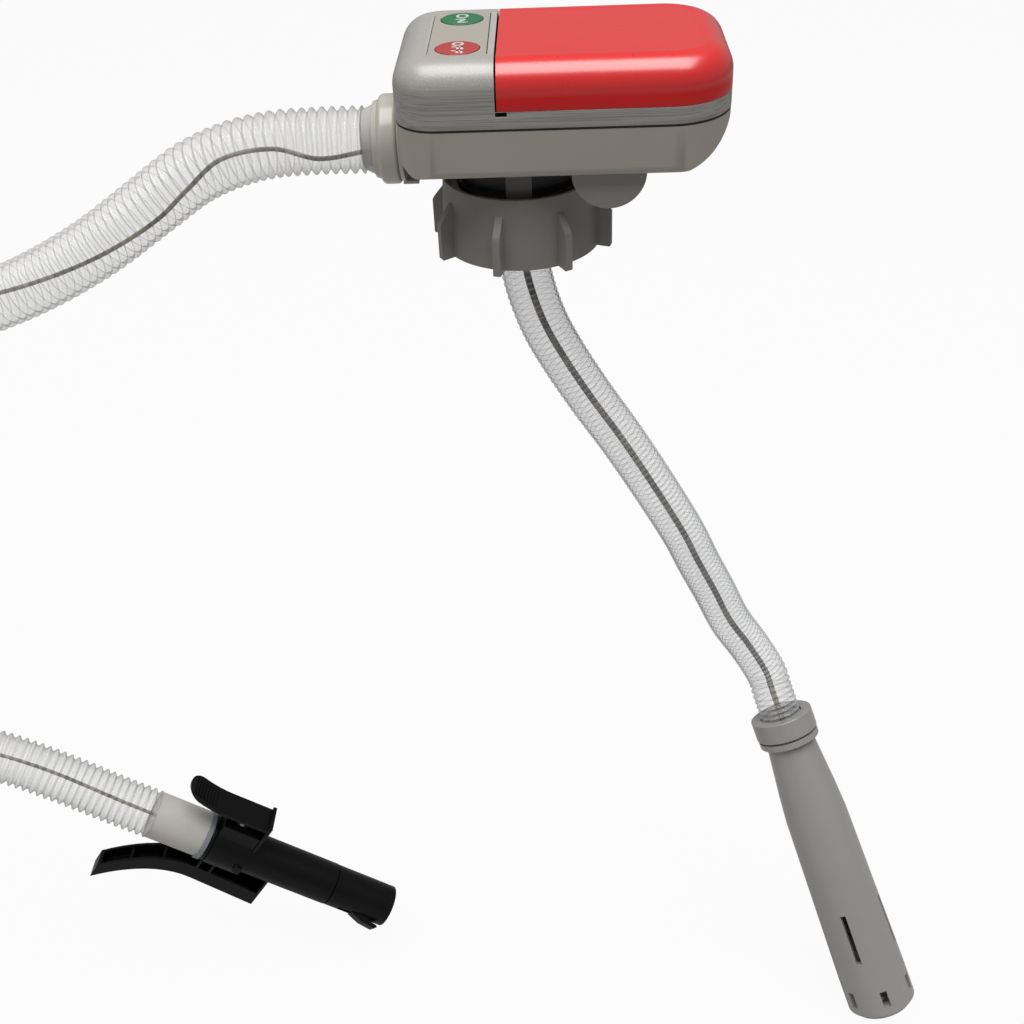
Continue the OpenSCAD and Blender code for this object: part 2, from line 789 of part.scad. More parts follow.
module neck_collar() {
    color("#1e1e20") difference() {
        union() {
            translate([0, 0, gasket_t]) cylinder(r = neck_r, h = z_under - gasket_t);
            translate([0, 0, gasket_t]) cylinder(r = flange_r, h = flange_t);
        }
        translate([0, 0, z_seat]) cylinder(r = neck_bore_r, h = z_under);
        translate([0, 0, gasket_t - over]) cylinder(r = step_bore_r, h = z_under);
        bar_x(saddle_bore_r, -neck_r - over, 0, 0, z_out);
        translate([0, 0, z_under - hook_drop - fit_gap]) difference() {
            cylinder(r = neck_r + over, h = nib_h + over + 2 * fit_gap);
            translate([0, 0, -over])
                cylinder(r = hook_in - nib - fit_gap, h = nib_h + 4 * over);
        }
    }
}

module cap_gasket() {
    color("#26262a") difference() {
        cylinder(r = flange_r - fit_gap, h = gasket_t);
        translate([0, 0, -over]) cylinder(r = gasket_in_r, h = gasket_t + 2 * over);
    }
}

// Screw cap: skirt with thread, an inner ledge over the neck's flange, fins
ledge_z = gasket_t + flange_t + move_gap;
ledge_t = 2.2;
ledge_r = neck_r + 2 * move_gap;
fin_top = 3;
fin_shoulder = 15;
fin_foot = 0.5;
fin_bevel = 1.2;
fin_slope = 2;
fin_tip = 1;
thread_pitch = 6;
thread_ridge = 0.9;
thread_root_share = 1.5;
module screw_cap() {
    color("#8b8d8f") {
        difference() {
            rotate_extrude() polygon([
                [thread_r - thread_ridge, -skirt_h], [cap_r, -skirt_h],
                [cap_r, -skirt_h / 2], [cap_top_r, cap_rise],
                [thread_r - thread_ridge, cap_rise]
            ]);
            translate([0, 0, -skirt_h - over]) cylinder(r = thread_r, h = skirt_h + ledge_z + over);
            translate([0, 0, ledge_z + ledge_t]) cylinder(r = rim_open_r, h = cap_rise);
        }
        translate([0, 0, ledge_z]) difference() {
            cylinder(r = rim_open_r + (cap_top_r - rim_open_r) / 2, h = ledge_t);
            translate([0, 0, -over]) cylinder(r = ledge_r, h = ledge_t + 2 * over);
        }
        for (k = [0:fins - 1]) rotate([0, 0, k * 360 / fins - 90 - fin_turn]) fin();
        for (k = [1:2]) translate([0, 0, -k * thread_pitch]) thread_ring();
    }
}

// One turn of the thread's land, as a ring
module thread_ring() {
    rotate_extrude() polygon([
        [thread_r - thread_ridge, -thread_ridge / 2], [thread_r + over, -thread_ridge * thread_root_share],
        [thread_r + over, thread_ridge * thread_root_share], [thread_r - thread_ridge, thread_ridge / 2]
    ]);
}

module fin() {
    rotate([90, 0, 0]) translate([0, 0, -fin_t / 2]) linear_extrude(fin_t) polygon([
        [thread_r + over, -skirt_h], [fin_reach - fin_foot, -skirt_h - fin_foot],
        [fin_reach, -skirt_h], [fin_reach, fin_shoulder - skirt_h],
        [fin_reach - fin_bevel, fin_shoulder - skirt_h + fin_slope],
        [cap_r - fin_tip, fin_top + fin_tip], [thread_r + over, fin_top + fin_tip]
    ]);
}

// Rest tab: a half disc under the case with a snap tongue through its floor
module rest_tab() {
    head_z = z_under + wall;
    color("#8f8d88") {
        intersection() {
            bar_y(tab_r, tab_y - tab_t / 2, tab_y + tab_t / 2, tab_x, z_under);
            box([tab_x - tab_r, tab_y - tab_t, z_under - tab_r], [tab_x + tab_r, tab_y + tab_t, z_under]);
        }
        box([tab_x - tongue_l / 2, tab_y - tab_t / 2, z_under - over],
            [tab_x + tongue_l / 2, tab_y + tab_t / 2, head_z + tongue_head]);
        box([tab_x - tongue_l / 2, tab_y - tab_t / 2, head_z],
            [tab_x + tongue_l / 2, tab_y + tab_t / 2 + tongue_head, head_z + tongue_head]);
    }
}

// Outlet nut: a plain ring with a lip that draws the ferrule's flange to the spigot
nut_lip_r = 14.6;
nose_l = 2.4;
nose_r = 16.4;
module outlet_nut() {
    bevel = 0.9;
    color("#cfc9bb") translate([nut_x0, 0, z_out]) rotate([0, 90, 0]) difference() {
        rotate_extrude() polygon([
            [nut_lip_r, -nose_l], [nose_r - bevel, -nose_l], [nose_r, 0], [nut_r - bevel, 0],
            [nut_r, bevel], [nut_r, nut_l - bevel], [nut_r - bevel, nut_l], [nut_lip_r, nut_l]
        ]);
        translate([0, 0, nose_t]) cylinder(r = nut_bore_r, h = nut_l);
    }
}

// Clear ferrule that flares from the hose into the outlet nut
ferrule_x1 = nut_x0 + nose_t + ferrule_flange_t + fit_gap;
ferrule_out = 7;
ferrule_x0 = nut_x0 - ferrule_out;
cone_l = 4.2;
module hose_ferrule() {
    lip = nut_lip_r - ferrule_gap;
    flange = nut_bore_r - ferrule_gap;
    long = ferrule_x1 - ferrule_x0;
    color("#e9ecee") translate([ferrule_x0, 0, z_out]) rotate([0, 90, 0]) difference() {
        rotate_extrude() polygon([
            [hose_bore_d / 2 - over, 0], [hose_d / 2 - rib_depth + fit_gap, 0], [lip, cone_l],
            [lip, long - ferrule_flange_t], [flange, long - ferrule_flange_t],
            [flange, long], [hose_bore_d / 2 - over, long]
        ]);
        translate([0, 0, -over]) cylinder(r = hose_bore_d / 2, h = long + 2 * over);
    }
}

// Smooth line through a list of points, at t from 0 to len - 1
function mix_at(p, q, r, s, u) = 0.5 * (2 * q + (r - p) * u
    + (2 * p - 5 * q + 4 * r - s) * u * u + (3 * q - p - 3 * r + s) * u * u * u);
function on_line(pts, t) =
    let (n = len(pts), i = min(floor(t), n - 2))
    mix_at(pts[max(i - 1, 0)], pts[i], pts[i + 1], pts[min(i + 2, n - 1)], t - i);
function heading(pts, t) =
    let (n = len(pts), a = max(t - 0.02, 0), b = min(t + 0.02, n - 1),
         d = on_line(pts, b) - on_line(pts, a))
    d / norm(d);
// A ring of sides points, square to the line at t
function ring(pts, t, r, sides) =
    let (p = on_line(pts, t), d = heading(pts, t),
         u = cross([0, 1, 0], d) / norm(cross([0, 1, 0], d)), v = cross(d, u))
    [for (k = [0:sides - 1]) p + r * (cos(k * 360 / sides) * u + sin(k * 360 / sides) * v)];
// Two triangles for each side between rings a and b
function band(a, b, sides) = [for (k = [0:sides - 1]) let (m = (k + 1) % sides)
    each [[a + k, b + k, a + m], [a + m, b + k, b + m]]];
function flip(faces) = [for (f = faces) [f[2], f[1], f[0]]];

// A solid cord along a line
module cord(pts, d, rings) {
    sides = hose_sides;
    rows = [for (k = [0:rings - 1]) k * (len(pts) - 1) / (rings - 1)];
    points = [for (t = rows) each ring(pts, t, d / 2, sides)];
    last = (rings - 1) * sides;
    polyhedron(points, concat(
        [for (k = [0:rings - 2]) each band(k * sides, (k + 1) * sides, sides)],
        [for (k = [1:sides - 2]) [0, k, k + 1]],
        [for (k = [1:sides - 2]) [last, last + k + 1, last + k]]));
}

// A ribbed hose along a line: two rings to a rib outside, a plain bore inside
bore_row_share = 0.25;
module ribbed_hose(pts, d, bore_d, ribs) {
    sides = hose_sides;
    span = len(pts) - 1;
    outer = [for (k = [0:2 * ribs]) [k * span / (2 * ribs), k % 2 == 0 ? d / 2 - rib_depth : d / 2]];
    rows = ceil(ribs * bore_row_share);
    inner = [for (k = [0:rows]) k * span / rows];
    n = len(outer) * sides;
    points = concat([for (o = outer) each ring(pts, o[0], o[1], sides)],
        [for (t = inner) each ring(pts, t, bore_d / 2, sides)]);
    out_last = (len(outer) - 1) * sides;
    in_last = n + rows * sides;
    polyhedron(points, concat(
        [for (k = [0:len(outer) - 2]) each band(k * sides, (k + 1) * sides, sides)],
        flip([for (k = [0:rows - 1]) each band(n + k * sides, n + (k + 1) * sides, sides)]),
        flip(band(0, n, sides)),
        band(out_last, in_last, sides)));
}

// The discharge hose's route, from the ferrule round to the nozzle's cuff
discharge_points = [
    [ferrule_x0 - fit_gap, 0, z_out], [-84, 0, 25.7], [-103, 0, 24.8], [-121, 0, 21], [-140, 0, 13],
    [-161, 0, -1], [-190, -1, -20], [-222, -2, -36], [-256, -3, -48], [-291, -4, -56],
    [-327, -5, -62], [-362, -7, -70], [-395, -9, -83], [-423, -12, -103], [-443, -15, -130],
    [-453, -18, -162], [-452, -21, -195], [-441, -23, -226], [-421, -25, -252], [-394, -27, -271],
    [-360, -28, -283], [-325, -29, -295], [-290, -30, -309], [-262, -30, -326], [-243, -30, -339],
    [-221, -30, -353.5]
];

// Places and headings of the nozzle and the foot
nozzle_at = [-192.6, -30, -372.3];
foot_at = [134, -6, -305];
foot_lean = 32.4;
foot_heading = 127.3;
foot_axis = [sin(foot_lean) * cos(foot_heading), sin(foot_lean) * sin(foot_heading), cos(foot_lean)];
foot_socket_z = -9;
foot_seal_t = 1.2;
function foot_point(z) = foot_at + z * foot_axis;

// The suction hose's route, from the neck down and over to the foot's seal
hose_above = 13;
suction_points = concat([
    [0, 0, gasket_t - fit_gap], [0, 0, -12], [0, 0, -26], [3, 0, -44], [9, 0, -63], [18, 1, -82],
    [30, 1, -103], [44, 2, -126], [59, 2, -152], [76, 3, -184], [85, 5, -205],
    [95, 7, -227], [104.5, 8, -248.5], [116, 8, -267], [126, 5, -284]
], [foot_point(hose_above), foot_point(foot_socket_z + foot_seal_t + fit_gap)]);

module at_nozzle() {
    translate(nozzle_at) rotate([0, nozzle_slope, 0]) children();
}

module at_foot() {
    translate(foot_at) rotate([0, foot_lean, foot_heading]) children();
}

function nozzle_point(x, h) = nozzle_at
    + x * [cos(nozzle_slope), 0, -sin(nozzle_slope)] + h * [sin(nozzle_slope), 0, cos(nozzle_slope)];

// Distance of each point along the line, paired with its index
function miles(pts) = [for (i = 0, s = 0; i < len(pts);
    s = s + (i < len(pts) - 1 ? norm(pts[i + 1] - pts[i]) : 0), i = i + 1) [s, i]];
// The line again, as points at even distances
function even(pts, n) = let (m = miles(pts), total = m[len(m) - 1][0])
    [for (k = [0:n - 1]) on_line(pts, lookup(k * total / (n - 1), m))];

module discharge_hose() {
    color("#e4e8ea") ribbed_hose(even(discharge_points, 48), hose_d, hose_bore_d, hose_ribs);
}

module suction_hose() {
    color("#cfd9dd") ribbed_hose(even(suction_points, 28), suction_d, suction_bore_d, suction_ribs);
}

// The sensor cable lies loosely inside the discharge hose: how far above the hose's
// middle line it is, and how far behind it, at distances along the hose
lie_up = [
    [0, -5], [18, -7.6], [38, -3], [58, 2], [80, -3], [105, -6.2], [150, -4], [220, 5],
    [320, -6], [420, 4], [520, -5], [620, 5], [720, -4], [775, 0]
];
lie_back = [
    [0, 0], [18, -2], [38, 3], [58, -6], [80, -6.5], [105, -4], [150, 5], [220, 3],
    [320, -4], [420, 5], [520, -4], [620, 4], [720, -2], [775, 0]
];
function lie(pts, n) = let (line = even(pts, n), m = miles(line)) [for (k = [0:n - 1])
    let (d = heading(line, k), u = cross([0, 1, 0], d) / norm(cross([0, 1, 0], d)), v = cross(d, u))
    line[k] + lookup(m[k][0], lie_up) * u + lookup(m[k][0], lie_back) * v];

// The cables' ways from the gland's foot: the sensor's into the outlet pipe and the
// motor's into the neck, and the depths that the motor's passes in the foot
gland_foot = [gland_x, 0, z_gland - gland_depth - fit_gap];
sensor_way = [[-2, 0, 0], [-2, 0, -2.5], [-3, 0, -5.5], [-7, 0, -9.8], [-14, 0, -12.8]];
motor_way = [[1.9, 0, 0], [1.9, 0, -2.5], [3, 0, -5.5], [9.5, 0, -9.8], [16.5, 0, -15.8], [20.5, 0, -23.8]];
motor_depths = [-30, -50];
pipe_low = 2;
tube_lie = [[0, -1], [0.333, -2], [0.667, -4]];
sensor_lead = [-10, -4, -2];

module sensor_cable() {
    color("#4a4a45") cord(even(concat(
        [for (w = sensor_way) gland_foot + w], [[x0, 0, z_out - pipe_low]],
        lie(discharge_points, 40), [nozzle_point(-cuff_l / 2, 0)],
        [for (p = tube_lie) nozzle_point(p.x * tube_l, p.y)],
        [nozzle_point(sensor_at.x + sensor_lead.x, sensor_lead.z) + [0, sensor_lead.y, 0],
         nozzle_point(sensor_at.x, sensor_at.z) + [0, sensor_at.y, 0]]), 144), sensor_d, 72);
}

module motor_cable() {
    run = len(suction_points) - 2;
    color("#3a3a3c") cord(even(concat(
        [for (w = motor_way) gland_foot + w],
        [for (k = [1:run]) suction_points[k]],
        [for (z = motor_depths) foot_point(z)], [foot_point(capsule_top + fit_gap / 2)]),
        72), cable_d, 36);
}

// Nozzle
cuff_in_r = cuff_r - cuff_wall;
cuff_gap = 0.4;
tube_spigot_l = 14;
tube_spigot_wall = 2.3;
shoulder_step = 0.6;
shoulder_r = cuff_r + shoulder_step;
shoulder_t = 2;
housing_x = shoulder_t + fit_gap;
housing_wall = 2;
housing_side = 0.6;
housing_w = paddle_w + housing_side;
nub_x = 21.2;
nozzle_nub_r = 2.6;
nozzle_nub_h = 1.6;
tip_gap = 0.6;
tip_step = 0.2;
tip_bore_step = 0.4;
tip_slot_in = 8.4;
tip_x = tube_l + tip_gap;
tip_r = tube_r - tip_step;
tip_bore_r = tube_bore_r - tip_bore_step;
tip_slot_x = tip_x + tip_slot_in;
tip_slot_l = 22;
tip_slot_w = 5.6;
sensor_r = 2.2;
sensor_in = 1;
sensor_at = [tip_slot_x, -6.8, -3.3];
ring_t = 1;
ring_l = 3.1;

module nozzle_cuff() {
    color("#dfe6e8") at_nozzle() difference() {
        bar_x(cuff_r, -cuff_l, -cuff_gap, 0, 0);
        bar_x(cuff_in_r, -cuff_l - over, over, 0, 0);
    }
}

module cuff_ring() {
    inner = cuff_r + fit_gap / 2;
    color("#b9cdd8") at_nozzle() difference() {
        bar_x(inner + ring_t, -cuff_gap - ring_l, -cuff_gap, 0, 0);
        bar_x(inner, -cuff_gap - ring_l - over, over, 0, 0);
    }
}

module nozzle_tube() {
    color("#1b1b1d") at_nozzle() difference() {
        union() {
            bar_x(tube_r, 0, tube_l, 0, 0);
            bar_x(shoulder_r, 0, shoulder_t, 0, 0);
            bar_x(cuff_in_r - fit_gap, -tube_spigot_l, over, 0, 0);
        }
        bar_x(tube_bore_r, shoulder_t, tube_l + over, 0, 0);
        bar_x(cuff_in_r - tube_spigot_wall, -tube_spigot_l - over, shoulder_t + over, 0, 0);
    }
}

lip_w = 7;
lip_t = 0.6;
lip_back = 10;
tip_turn = -64;
tip_spigot_l = 7;
tip_slot_rise = 2.4;
// Side view of the lip under the slot and of its two cheeks: along, and from the tip's face
lip_side = [[-4, 0], [4, -3], [12.5, -4], [14, -2.6], [13, -1.6], [5, -0.8], [-3, 0.9]];
cheek_side = [
    [-4, 1], [4, -3], [12.5, -4], [14, -2.6], [13, -1.6], [6, -0.6], [13, 2], [-4, 2.2]
];
module nozzle_tip() {
    color("#1b1b1d") at_nozzle() rotate([tip_turn, 0, 0]) {
        difference() {
            union() {
                bar_x(tip_r, tip_x, tip_x + tip_l, 0, 0);
                bar_x(tube_bore_r - fit_gap, tip_x - tip_spigot_l, tip_x + over, 0, 0);
            }
            bar_x(tip_bore_r, tip_x - tip_spigot_l - over, tip_x + tip_l + over, 0, 0);
            box([tip_slot_x, -tip_slot_w / 2, -tip_r - over],
                [tip_slot_x + tip_slot_l, tip_slot_w / 2, tip_slot_rise - tip_bore_r]);
        }
        translate([tip_slot_x + tip_slot_l - lip_back, lip_w / 2, 0]) rotate([90, 0, 0]) {
            for (s = [0, 1]) translate([0, 0, s * (lip_w - lip_t)]) linear_extrude(lip_t)
                polygon([for (p = cheek_side) [p.x, p.y - tip_r]]);
            linear_extrude(lip_w) polygon([for (p = lip_side) [p.x, p.y - tip_r]]);
        }
    }
}

module level_sensor() {
    color("#33343a") at_nozzle() rotate([tip_turn, 0, 0]) bar_x(sensor_r, tip_slot_x + fit_gap,
        tip_slot_x + tip_slot_l - fit_gap, 0, sensor_in - tip_bore_r);
}

// Grip: a sleeve on the tube with a block on top, ears for the lever, and a
// curved channel below for the fingers
grip_x0 = -46;
grip_x1 = 45;
grip_low = 32.5;
ear_in = 8.8;
ear_rise = 3.4;
ear_x = housing_x + ear_in;
ear_r = 3;
ear_t = 2.4;
ear_gap = 0.4;
lug_w = 6;
clip_pin_r = 1.2;
clip_pin_h = housing_h + ear_rise;
grip_bend_x = 2;
grip_bend_share = 0.0134;
grip_slope_share = 0.07;
grip_webs = [3.2, 11.2, -16, -32];
function grip_floor(x) = -grip_low - (x < grip_bend_x ? grip_bend_share * pow(x - grip_bend_x, 2)
    : grip_slope_share * (x - grip_bend_x));

module grip_side(lift, drop, from, to) {
    steps = 18;
    xs = [for (k = [0:steps]) from + k * (to - from) / steps];
    polygon(concat([for (x = xs) [x, grip_floor(x) + drop]],
        [for (k = [0:steps]) [xs[steps - k], grip_floor(xs[steps - k]) + lift]]));
}

module across(w) {
    translate([0, w / 2, 0]) rotate([90, 0, 0]) linear_extrude(w) children();
}

module nozzle_grip() {
    sleeve_r = tube_r + fit_gap + housing_wall;
    color("#232326") at_nozzle() difference() {
        union() {
            bar_x(sleeve_r, housing_x, housing_x + housing_l, 0, 0);
            box([housing_x, -housing_w / 2, 0], [housing_x + housing_l, housing_w / 2, housing_h]);
            bar_y(nozzle_nub_r, -sleeve_r - nozzle_nub_h, sleeve_r + nozzle_nub_h, nub_x, 0);
            difference() {
                across(grip_w) grip_side(grip_h, 0, grip_x0, grip_x1);
                across(grip_w - 2 * grip_wall)
                    grip_side(grip_h + over, grip_wall, grip_x0 + grip_wall, grip_x1 - grip_wall);
            }
            for (x = grip_webs)
                box([x, -grip_w / 2, grip_floor(x) + grip_wall / 2],
                    [x + grip_wall, grip_w / 2, x > 0 ? -tube_r : grip_floor(x) + grip_h]);
            box([grip_x1 - grip_wall, -grip_w / 2, grip_floor(grip_x1) + grip_wall],
                [grip_x1, grip_w / 2, -tube_r - fit_gap]);
            for (s = [-1, 1]) {
                low = s > 0 ? lug_w / 2 + ear_gap : -lug_w / 2 - ear_gap - ear_t;
                bar_y(ear_r, low, low + ear_t, ear_x, clip_pin_h);
                box([ear_x - ear_r, low, housing_h - over], [ear_x + ear_r, low + ear_t, clip_pin_h]);
            }
        }
        bar_x(tube_r + fit_gap, housing_x - over, grip_x1 + over, 0, 0);
        bar_y(clip_pin_r, -tube_r, tube_r, ear_x, clip_pin_h);
    }
}

// Thumb lever: a paddle with finger ribs, an end flange and a lug on the pin
paddle_past = 2.6;
paddle_x1 = housing_x + housing_l + paddle_past;
paddle_flat = 26;
flange_low = 9.8;
flange_gap = 0.6;
flange_over = 2.4;
paddle_bend = 6.5;
finger_ribs = 8;
finger_in = 4;
finger_pitch = 2;
finger_side = 2.6;
finger_t = 0.8;
finger_rise = 0.5;
function paddle_line(x) = paddle_h
    + paddle_bend * pow(max(0, paddle_x1 - paddle_flat - x) / (paddle_l - paddle_flat), 2);

module paddle_side() {
    steps = 14;
    xs = [for (k = [0:steps]) paddle_x1 - paddle_l + k * paddle_l / steps];
    polygon(concat([for (x = xs) [x, paddle_line(x)]],
        [for (k = [0:steps]) [xs[steps - k], paddle_line(xs[steps - k]) + paddle_t]]));
}

module clip_lever() {
    tip_round = paddle_w / 2;
    color("#232326") at_nozzle() difference() {
        union() {
            intersection() {
                across(paddle_w) paddle_side();
                union() {
                    box([paddle_x1 - paddle_l + tip_round, -tip_round, 0],
                        [paddle_x1, tip_round, 2 * paddle_h]);
                    translate([paddle_x1 - paddle_l + tip_round, 0, 0])
                        cylinder(r = tip_round, h = 2 * paddle_h);
                }
            }
            box([paddle_x1 - paddle_t, -paddle_w / 2, flange_low],
                [paddle_x1, paddle_w / 2, paddle_h + paddle_t + flange_over]);
            for (k = [0:finger_ribs - 1]) {
                x = paddle_x1 - paddle_l + finger_in + finger_pitch * k;
                box([x, finger_side - paddle_w / 2, paddle_line(x) + paddle_t / 2],
                    [x + finger_t, paddle_w / 2 - finger_side, paddle_line(x) + paddle_t + finger_rise]);
            }
            box([ear_x - ear_r, -lug_w / 2, clip_pin_h], [ear_x + ear_r, lug_w / 2, paddle_h + over]);
            bar_y(ear_r - ear_gap, -lug_w / 2, lug_w / 2, ear_x, clip_pin_h);
        }
        bar_x(tube_r + flange_gap, paddle_x1 - 2 * paddle_t, paddle_x1 + over, 0, 0);
        bar_y(clip_pin_r + run_gap, -tube_r, tube_r, ear_x, clip_pin_h);
    }
}

pin_reach = lug_w / 2 + ear_gap + ear_t;
coil_r = 2.2;
wire_d = 0.8;
coil_turns = 3;
coil_pitch = 1.1;
module clip_pin() {
    color("#b5b7ba") at_nozzle()
        bar_y(clip_pin_r, -pin_reach, pin_reach + (coil_turns + 1) * coil_pitch + over,
            ear_x, clip_pin_h);
}

module clip_spring() {
    first = pin_reach + wire_d / 2 + run_gap;
    color("#a9abae") at_nozzle() cord([for (k = [0:8 * coil_turns]) [
        ear_x + coil_r * cos(k * 45), first + k * coil_pitch / 8, clip_pin_h + coil_r * sin(k * 45)
    ]], wire_d, 8 * coil_turns + 1);
}

// Foot, in its own frame: z runs back up the hose, zero at the top of its nut
foot_socket_r = suction_d / 2 + fit_gap;
housing_end = foot_l - strainer_l;
foot_top = -2;
foot_collar_step = 2.4;
foot_flange_step = 0.4;
foot_collar_r = foot_nut_r - foot_collar_step;
foot_flange_r = foot_nut_r - foot_flange_step;
foot_groove = 1.2;
foot_flange_t = 3.3;
foot_bore_r = 9;
foot_chamfer = 1.2;
foot_neck_l = 5;
foot_wall = 2.2;
belly_share = 0.3407;
chamber_share = 0.3681;
belly_z = -belly_share * foot_l;
chamber_z = -chamber_share * foot_l;
capsule_side = 0.8;
capsule_drop = 2;
capsule_r = motor_r + capsule_side;
capsule_top = chamber_z - capsule_drop;
capsule_wall = 2;
motor_z = capsule_top - capsule_wall;
capsule_floor = 3;
vane_t = 1.6;
vane_turn = 35;
capsule_low = motor_z - motor_l - capsule_floor - fit_gap;
seal_r = 3;
impeller_gap = 2;
impeller_z = capsule_low - impeller_gap;
impeller_h = 8;
hub_r = 3;
shaft_in = 4;
backplate_t = 1.5;
blade_t = 1.2;
plate_z = impeller_z - impeller_h - impeller_gap;
pump_plate_t = 2;
eye_r = 6;
slot_top = plate_z - pump_plate_t;
slot_turn = 38;
strainer_spigot = 6;
strainer_wall = 2.4;
strainer_r = foot_end_r;
strainer_round = 3;
hole_r = 2;
hole_gap = 5;

module foot_nut() {
    color("#9c9b98") at_foot() difference() {
        translate([0, 0, -foot_nut_l]) cylinder(r = foot_nut_r, h = foot_nut_l);
        translate([0, 0, -foot_nut_l - over]) cylinder(r = foot_collar_r + fit_gap,
            h = foot_nut_l + over + foot_top);
        translate([0, 0, -foot_nut_l]) cylinder(r = suction_d / 2 + move_gap, h = foot_nut_l + over);
    }
}

module foot_seal() {
    color("#2b2b2d") at_foot() translate([0, 0, foot_socket_z]) difference() {
        cylinder(r = foot_socket_r - fit_gap / 2, h = foot_seal_t);
        translate([0, 0, -over]) cylinder(r = foot_bore_r, h = foot_seal_t + 2 * over);
    }
}

module foot_housing() {
    under = -foot_nut_l - foot_groove;
    color("#a5a39f") at_foot() difference() {
        rotate_extrude() polygon([
            [0, foot_top], [foot_collar_r, foot_top], [foot_collar_r, under],
            [foot_flange_r, under], [foot_flange_r, under - foot_flange_t],
            [foot_neck_r, under - foot_flange_t - foot_chamfer],
            [foot_neck_r, under - foot_flange_t - foot_neck_l],
            [(foot_neck_r + 2 * foot_belly_r) / 3, (under + 2 * belly_z) / 3],
            [foot_belly_r, belly_z], [foot_end_r, -housing_end], [0, -housing_end]
        ]);
        rotate_extrude() polygon([
            [0, foot_top + over], [foot_socket_r, foot_top + over], [foot_socket_r, foot_socket_z],
            [foot_bore_r, foot_socket_z], [foot_bore_r, 2 * foot_socket_z],
            [foot_neck_r - foot_wall, chamber_z / 2], [chamber_r, chamber_z],
            [chamber_r, -housing_end - over], [0, -housing_end - over]
        ]);
        for (k = [0:slots - 1]) rotate([0, 0, slot_turn + k * 360 / slots])
            box([0, -slot_w / 2, slot_land - housing_end], [foot_end_r + over, slot_w / 2, slot_top]);
    }
}

module motor_housing() {
    color("#dcdad2") at_foot() difference() {
        union() {
            translate([0, 0, capsule_low]) cylinder(r = capsule_r, h = capsule_top - capsule_low);
            for (k = [0:2]) rotate([0, 0, k * 120 + vane_turn])
                box([capsule_r - vane_t / 4, -vane_t / 2, capsule_low + vane_t],
                    [chamber_r - fit_gap, vane_t / 2, capsule_top - vane_t]);
        }
        translate([0, 0, capsule_low + capsule_floor])
            cylinder(r = motor_r + run_gap, h = motor_l + fit_gap);
        translate([0, 0, capsule_low - over]) cylinder(r = seal_r + run_gap, h = capsule_floor + 2 * over);
    }
}

module motor_can() {
    color("#b4b6b8") at_foot() translate([0, 0, motor_z - motor_l]) difference() {
        cylinder(r = motor_r, h = motor_l);
        translate([0, 0, -over]) cylinder(r = shaft_r + run_gap, h = motor_l + 2 * over);
    }
}

module motor_shaft() {
    low = impeller_z - impeller_h;
    color("#c8cacc") at_foot() translate([0, 0, low])
        cylinder(r = shaft_r, h = motor_z - shaft_in - low);
}

module shaft_seal() {
    color("#2b2b2d") at_foot() translate([0, 0, capsule_low]) difference() {
        cylinder(r = seal_r, h = capsule_floor);
        translate([0, 0, -over]) cylinder(r = shaft_r + run_gap, h = capsule_floor + 2 * over);
    }
}

module impeller() {
    color("#e8e6df") at_foot() translate([0, 0, impeller_z - impeller_h]) difference() {
        union() {
            cylinder(r = hub_r, h = impeller_h);
            translate([0, 0, impeller_h - backplate_t]) cylinder(r = impeller_r, h = backplate_t);
            for (k = [0:blades - 1]) rotate([0, 0, k * 360 / blades])
                box([hub_r - over, -blade_t / 2, 0], [impeller_r - over, blade_t / 2, impeller_h]);
        }
        translate([0, 0, -over]) cylinder(r = shaft_r, h = impeller_h + 2 * over);
    }
}

module pump_plate() {
    color("#dcdad2") at_foot() translate([0, 0, plate_z - pump_plate_t]) difference() {
        cylinder(r = chamber_r - fit_gap / 2, h = pump_plate_t);
        translate([0, 0, -over]) cylinder(r = eye_r, h = pump_plate_t + 2 * over);
    }
}

module foot_strainer() {
    low = -foot_l;
    color("#8f8e8b") at_foot() difference() {
        union() {
            rotate_extrude() polygon([
                [0, -housing_end], [strainer_r, -housing_end], [strainer_r, low + strainer_round],
                [strainer_r - strainer_round, low], [0, low]
            ]);
            translate([0, 0, -housing_end - over])
                cylinder(r = chamber_r - fit_gap, h = strainer_spigot + over);
        }
        translate([0, 0, low + strainer_wall])
            cylinder(r = chamber_r - strainer_wall, h = foot_l);
        translate([0, 0, low - over]) cylinder(r = hole_r, h = strainer_wall + 2 * over);
        for (k = [0:5]) rotate([0, 0, k * 60]) translate([chamber_r / 2, 0, low - over])
            cylinder(r = hole_r, h = strainer_wall + 2 * over);
        for (k = [0:5]) rotate([0, 0, k * 60 + 30])
            box([0, -hole_r, low + 3 * strainer_wall], [strainer_r + over, hole_r, -housing_end - hole_gap]);
    }
}

lower_case();
upper_case();
battery_cover();
battery_tray();
battery_cells();
positive_contacts();
negative_contacts();
battery_leads();
case_screws();
button_panel();
on_button();
off_button();
control_board();
tact_switches();
board_screws();
flow_elbow();
cable_gland();
lead_wires();
neck_collar();
screw_cap();
cap_gasket();
rest_tab();
outlet_nut();
outlet_seal();
hose_ferrule();
discharge_hose();
sensor_cable();
nozzle_cuff();
cuff_ring();
nozzle_tube();
nozzle_tip();
level_sensor();
nozzle_grip();
clip_lever();
clip_pin();
clip_spring();
suction_hose();
motor_cable();
foot_nut();
foot_seal();
foot_housing();
motor_housing();
motor_can();
motor_shaft();
shaft_seal();
impeller();
pump_plate();
foot_strainer();
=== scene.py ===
"""Battery transfer pump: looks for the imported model, in metres and in its frame."""
from math import cos, pi, radians, sin

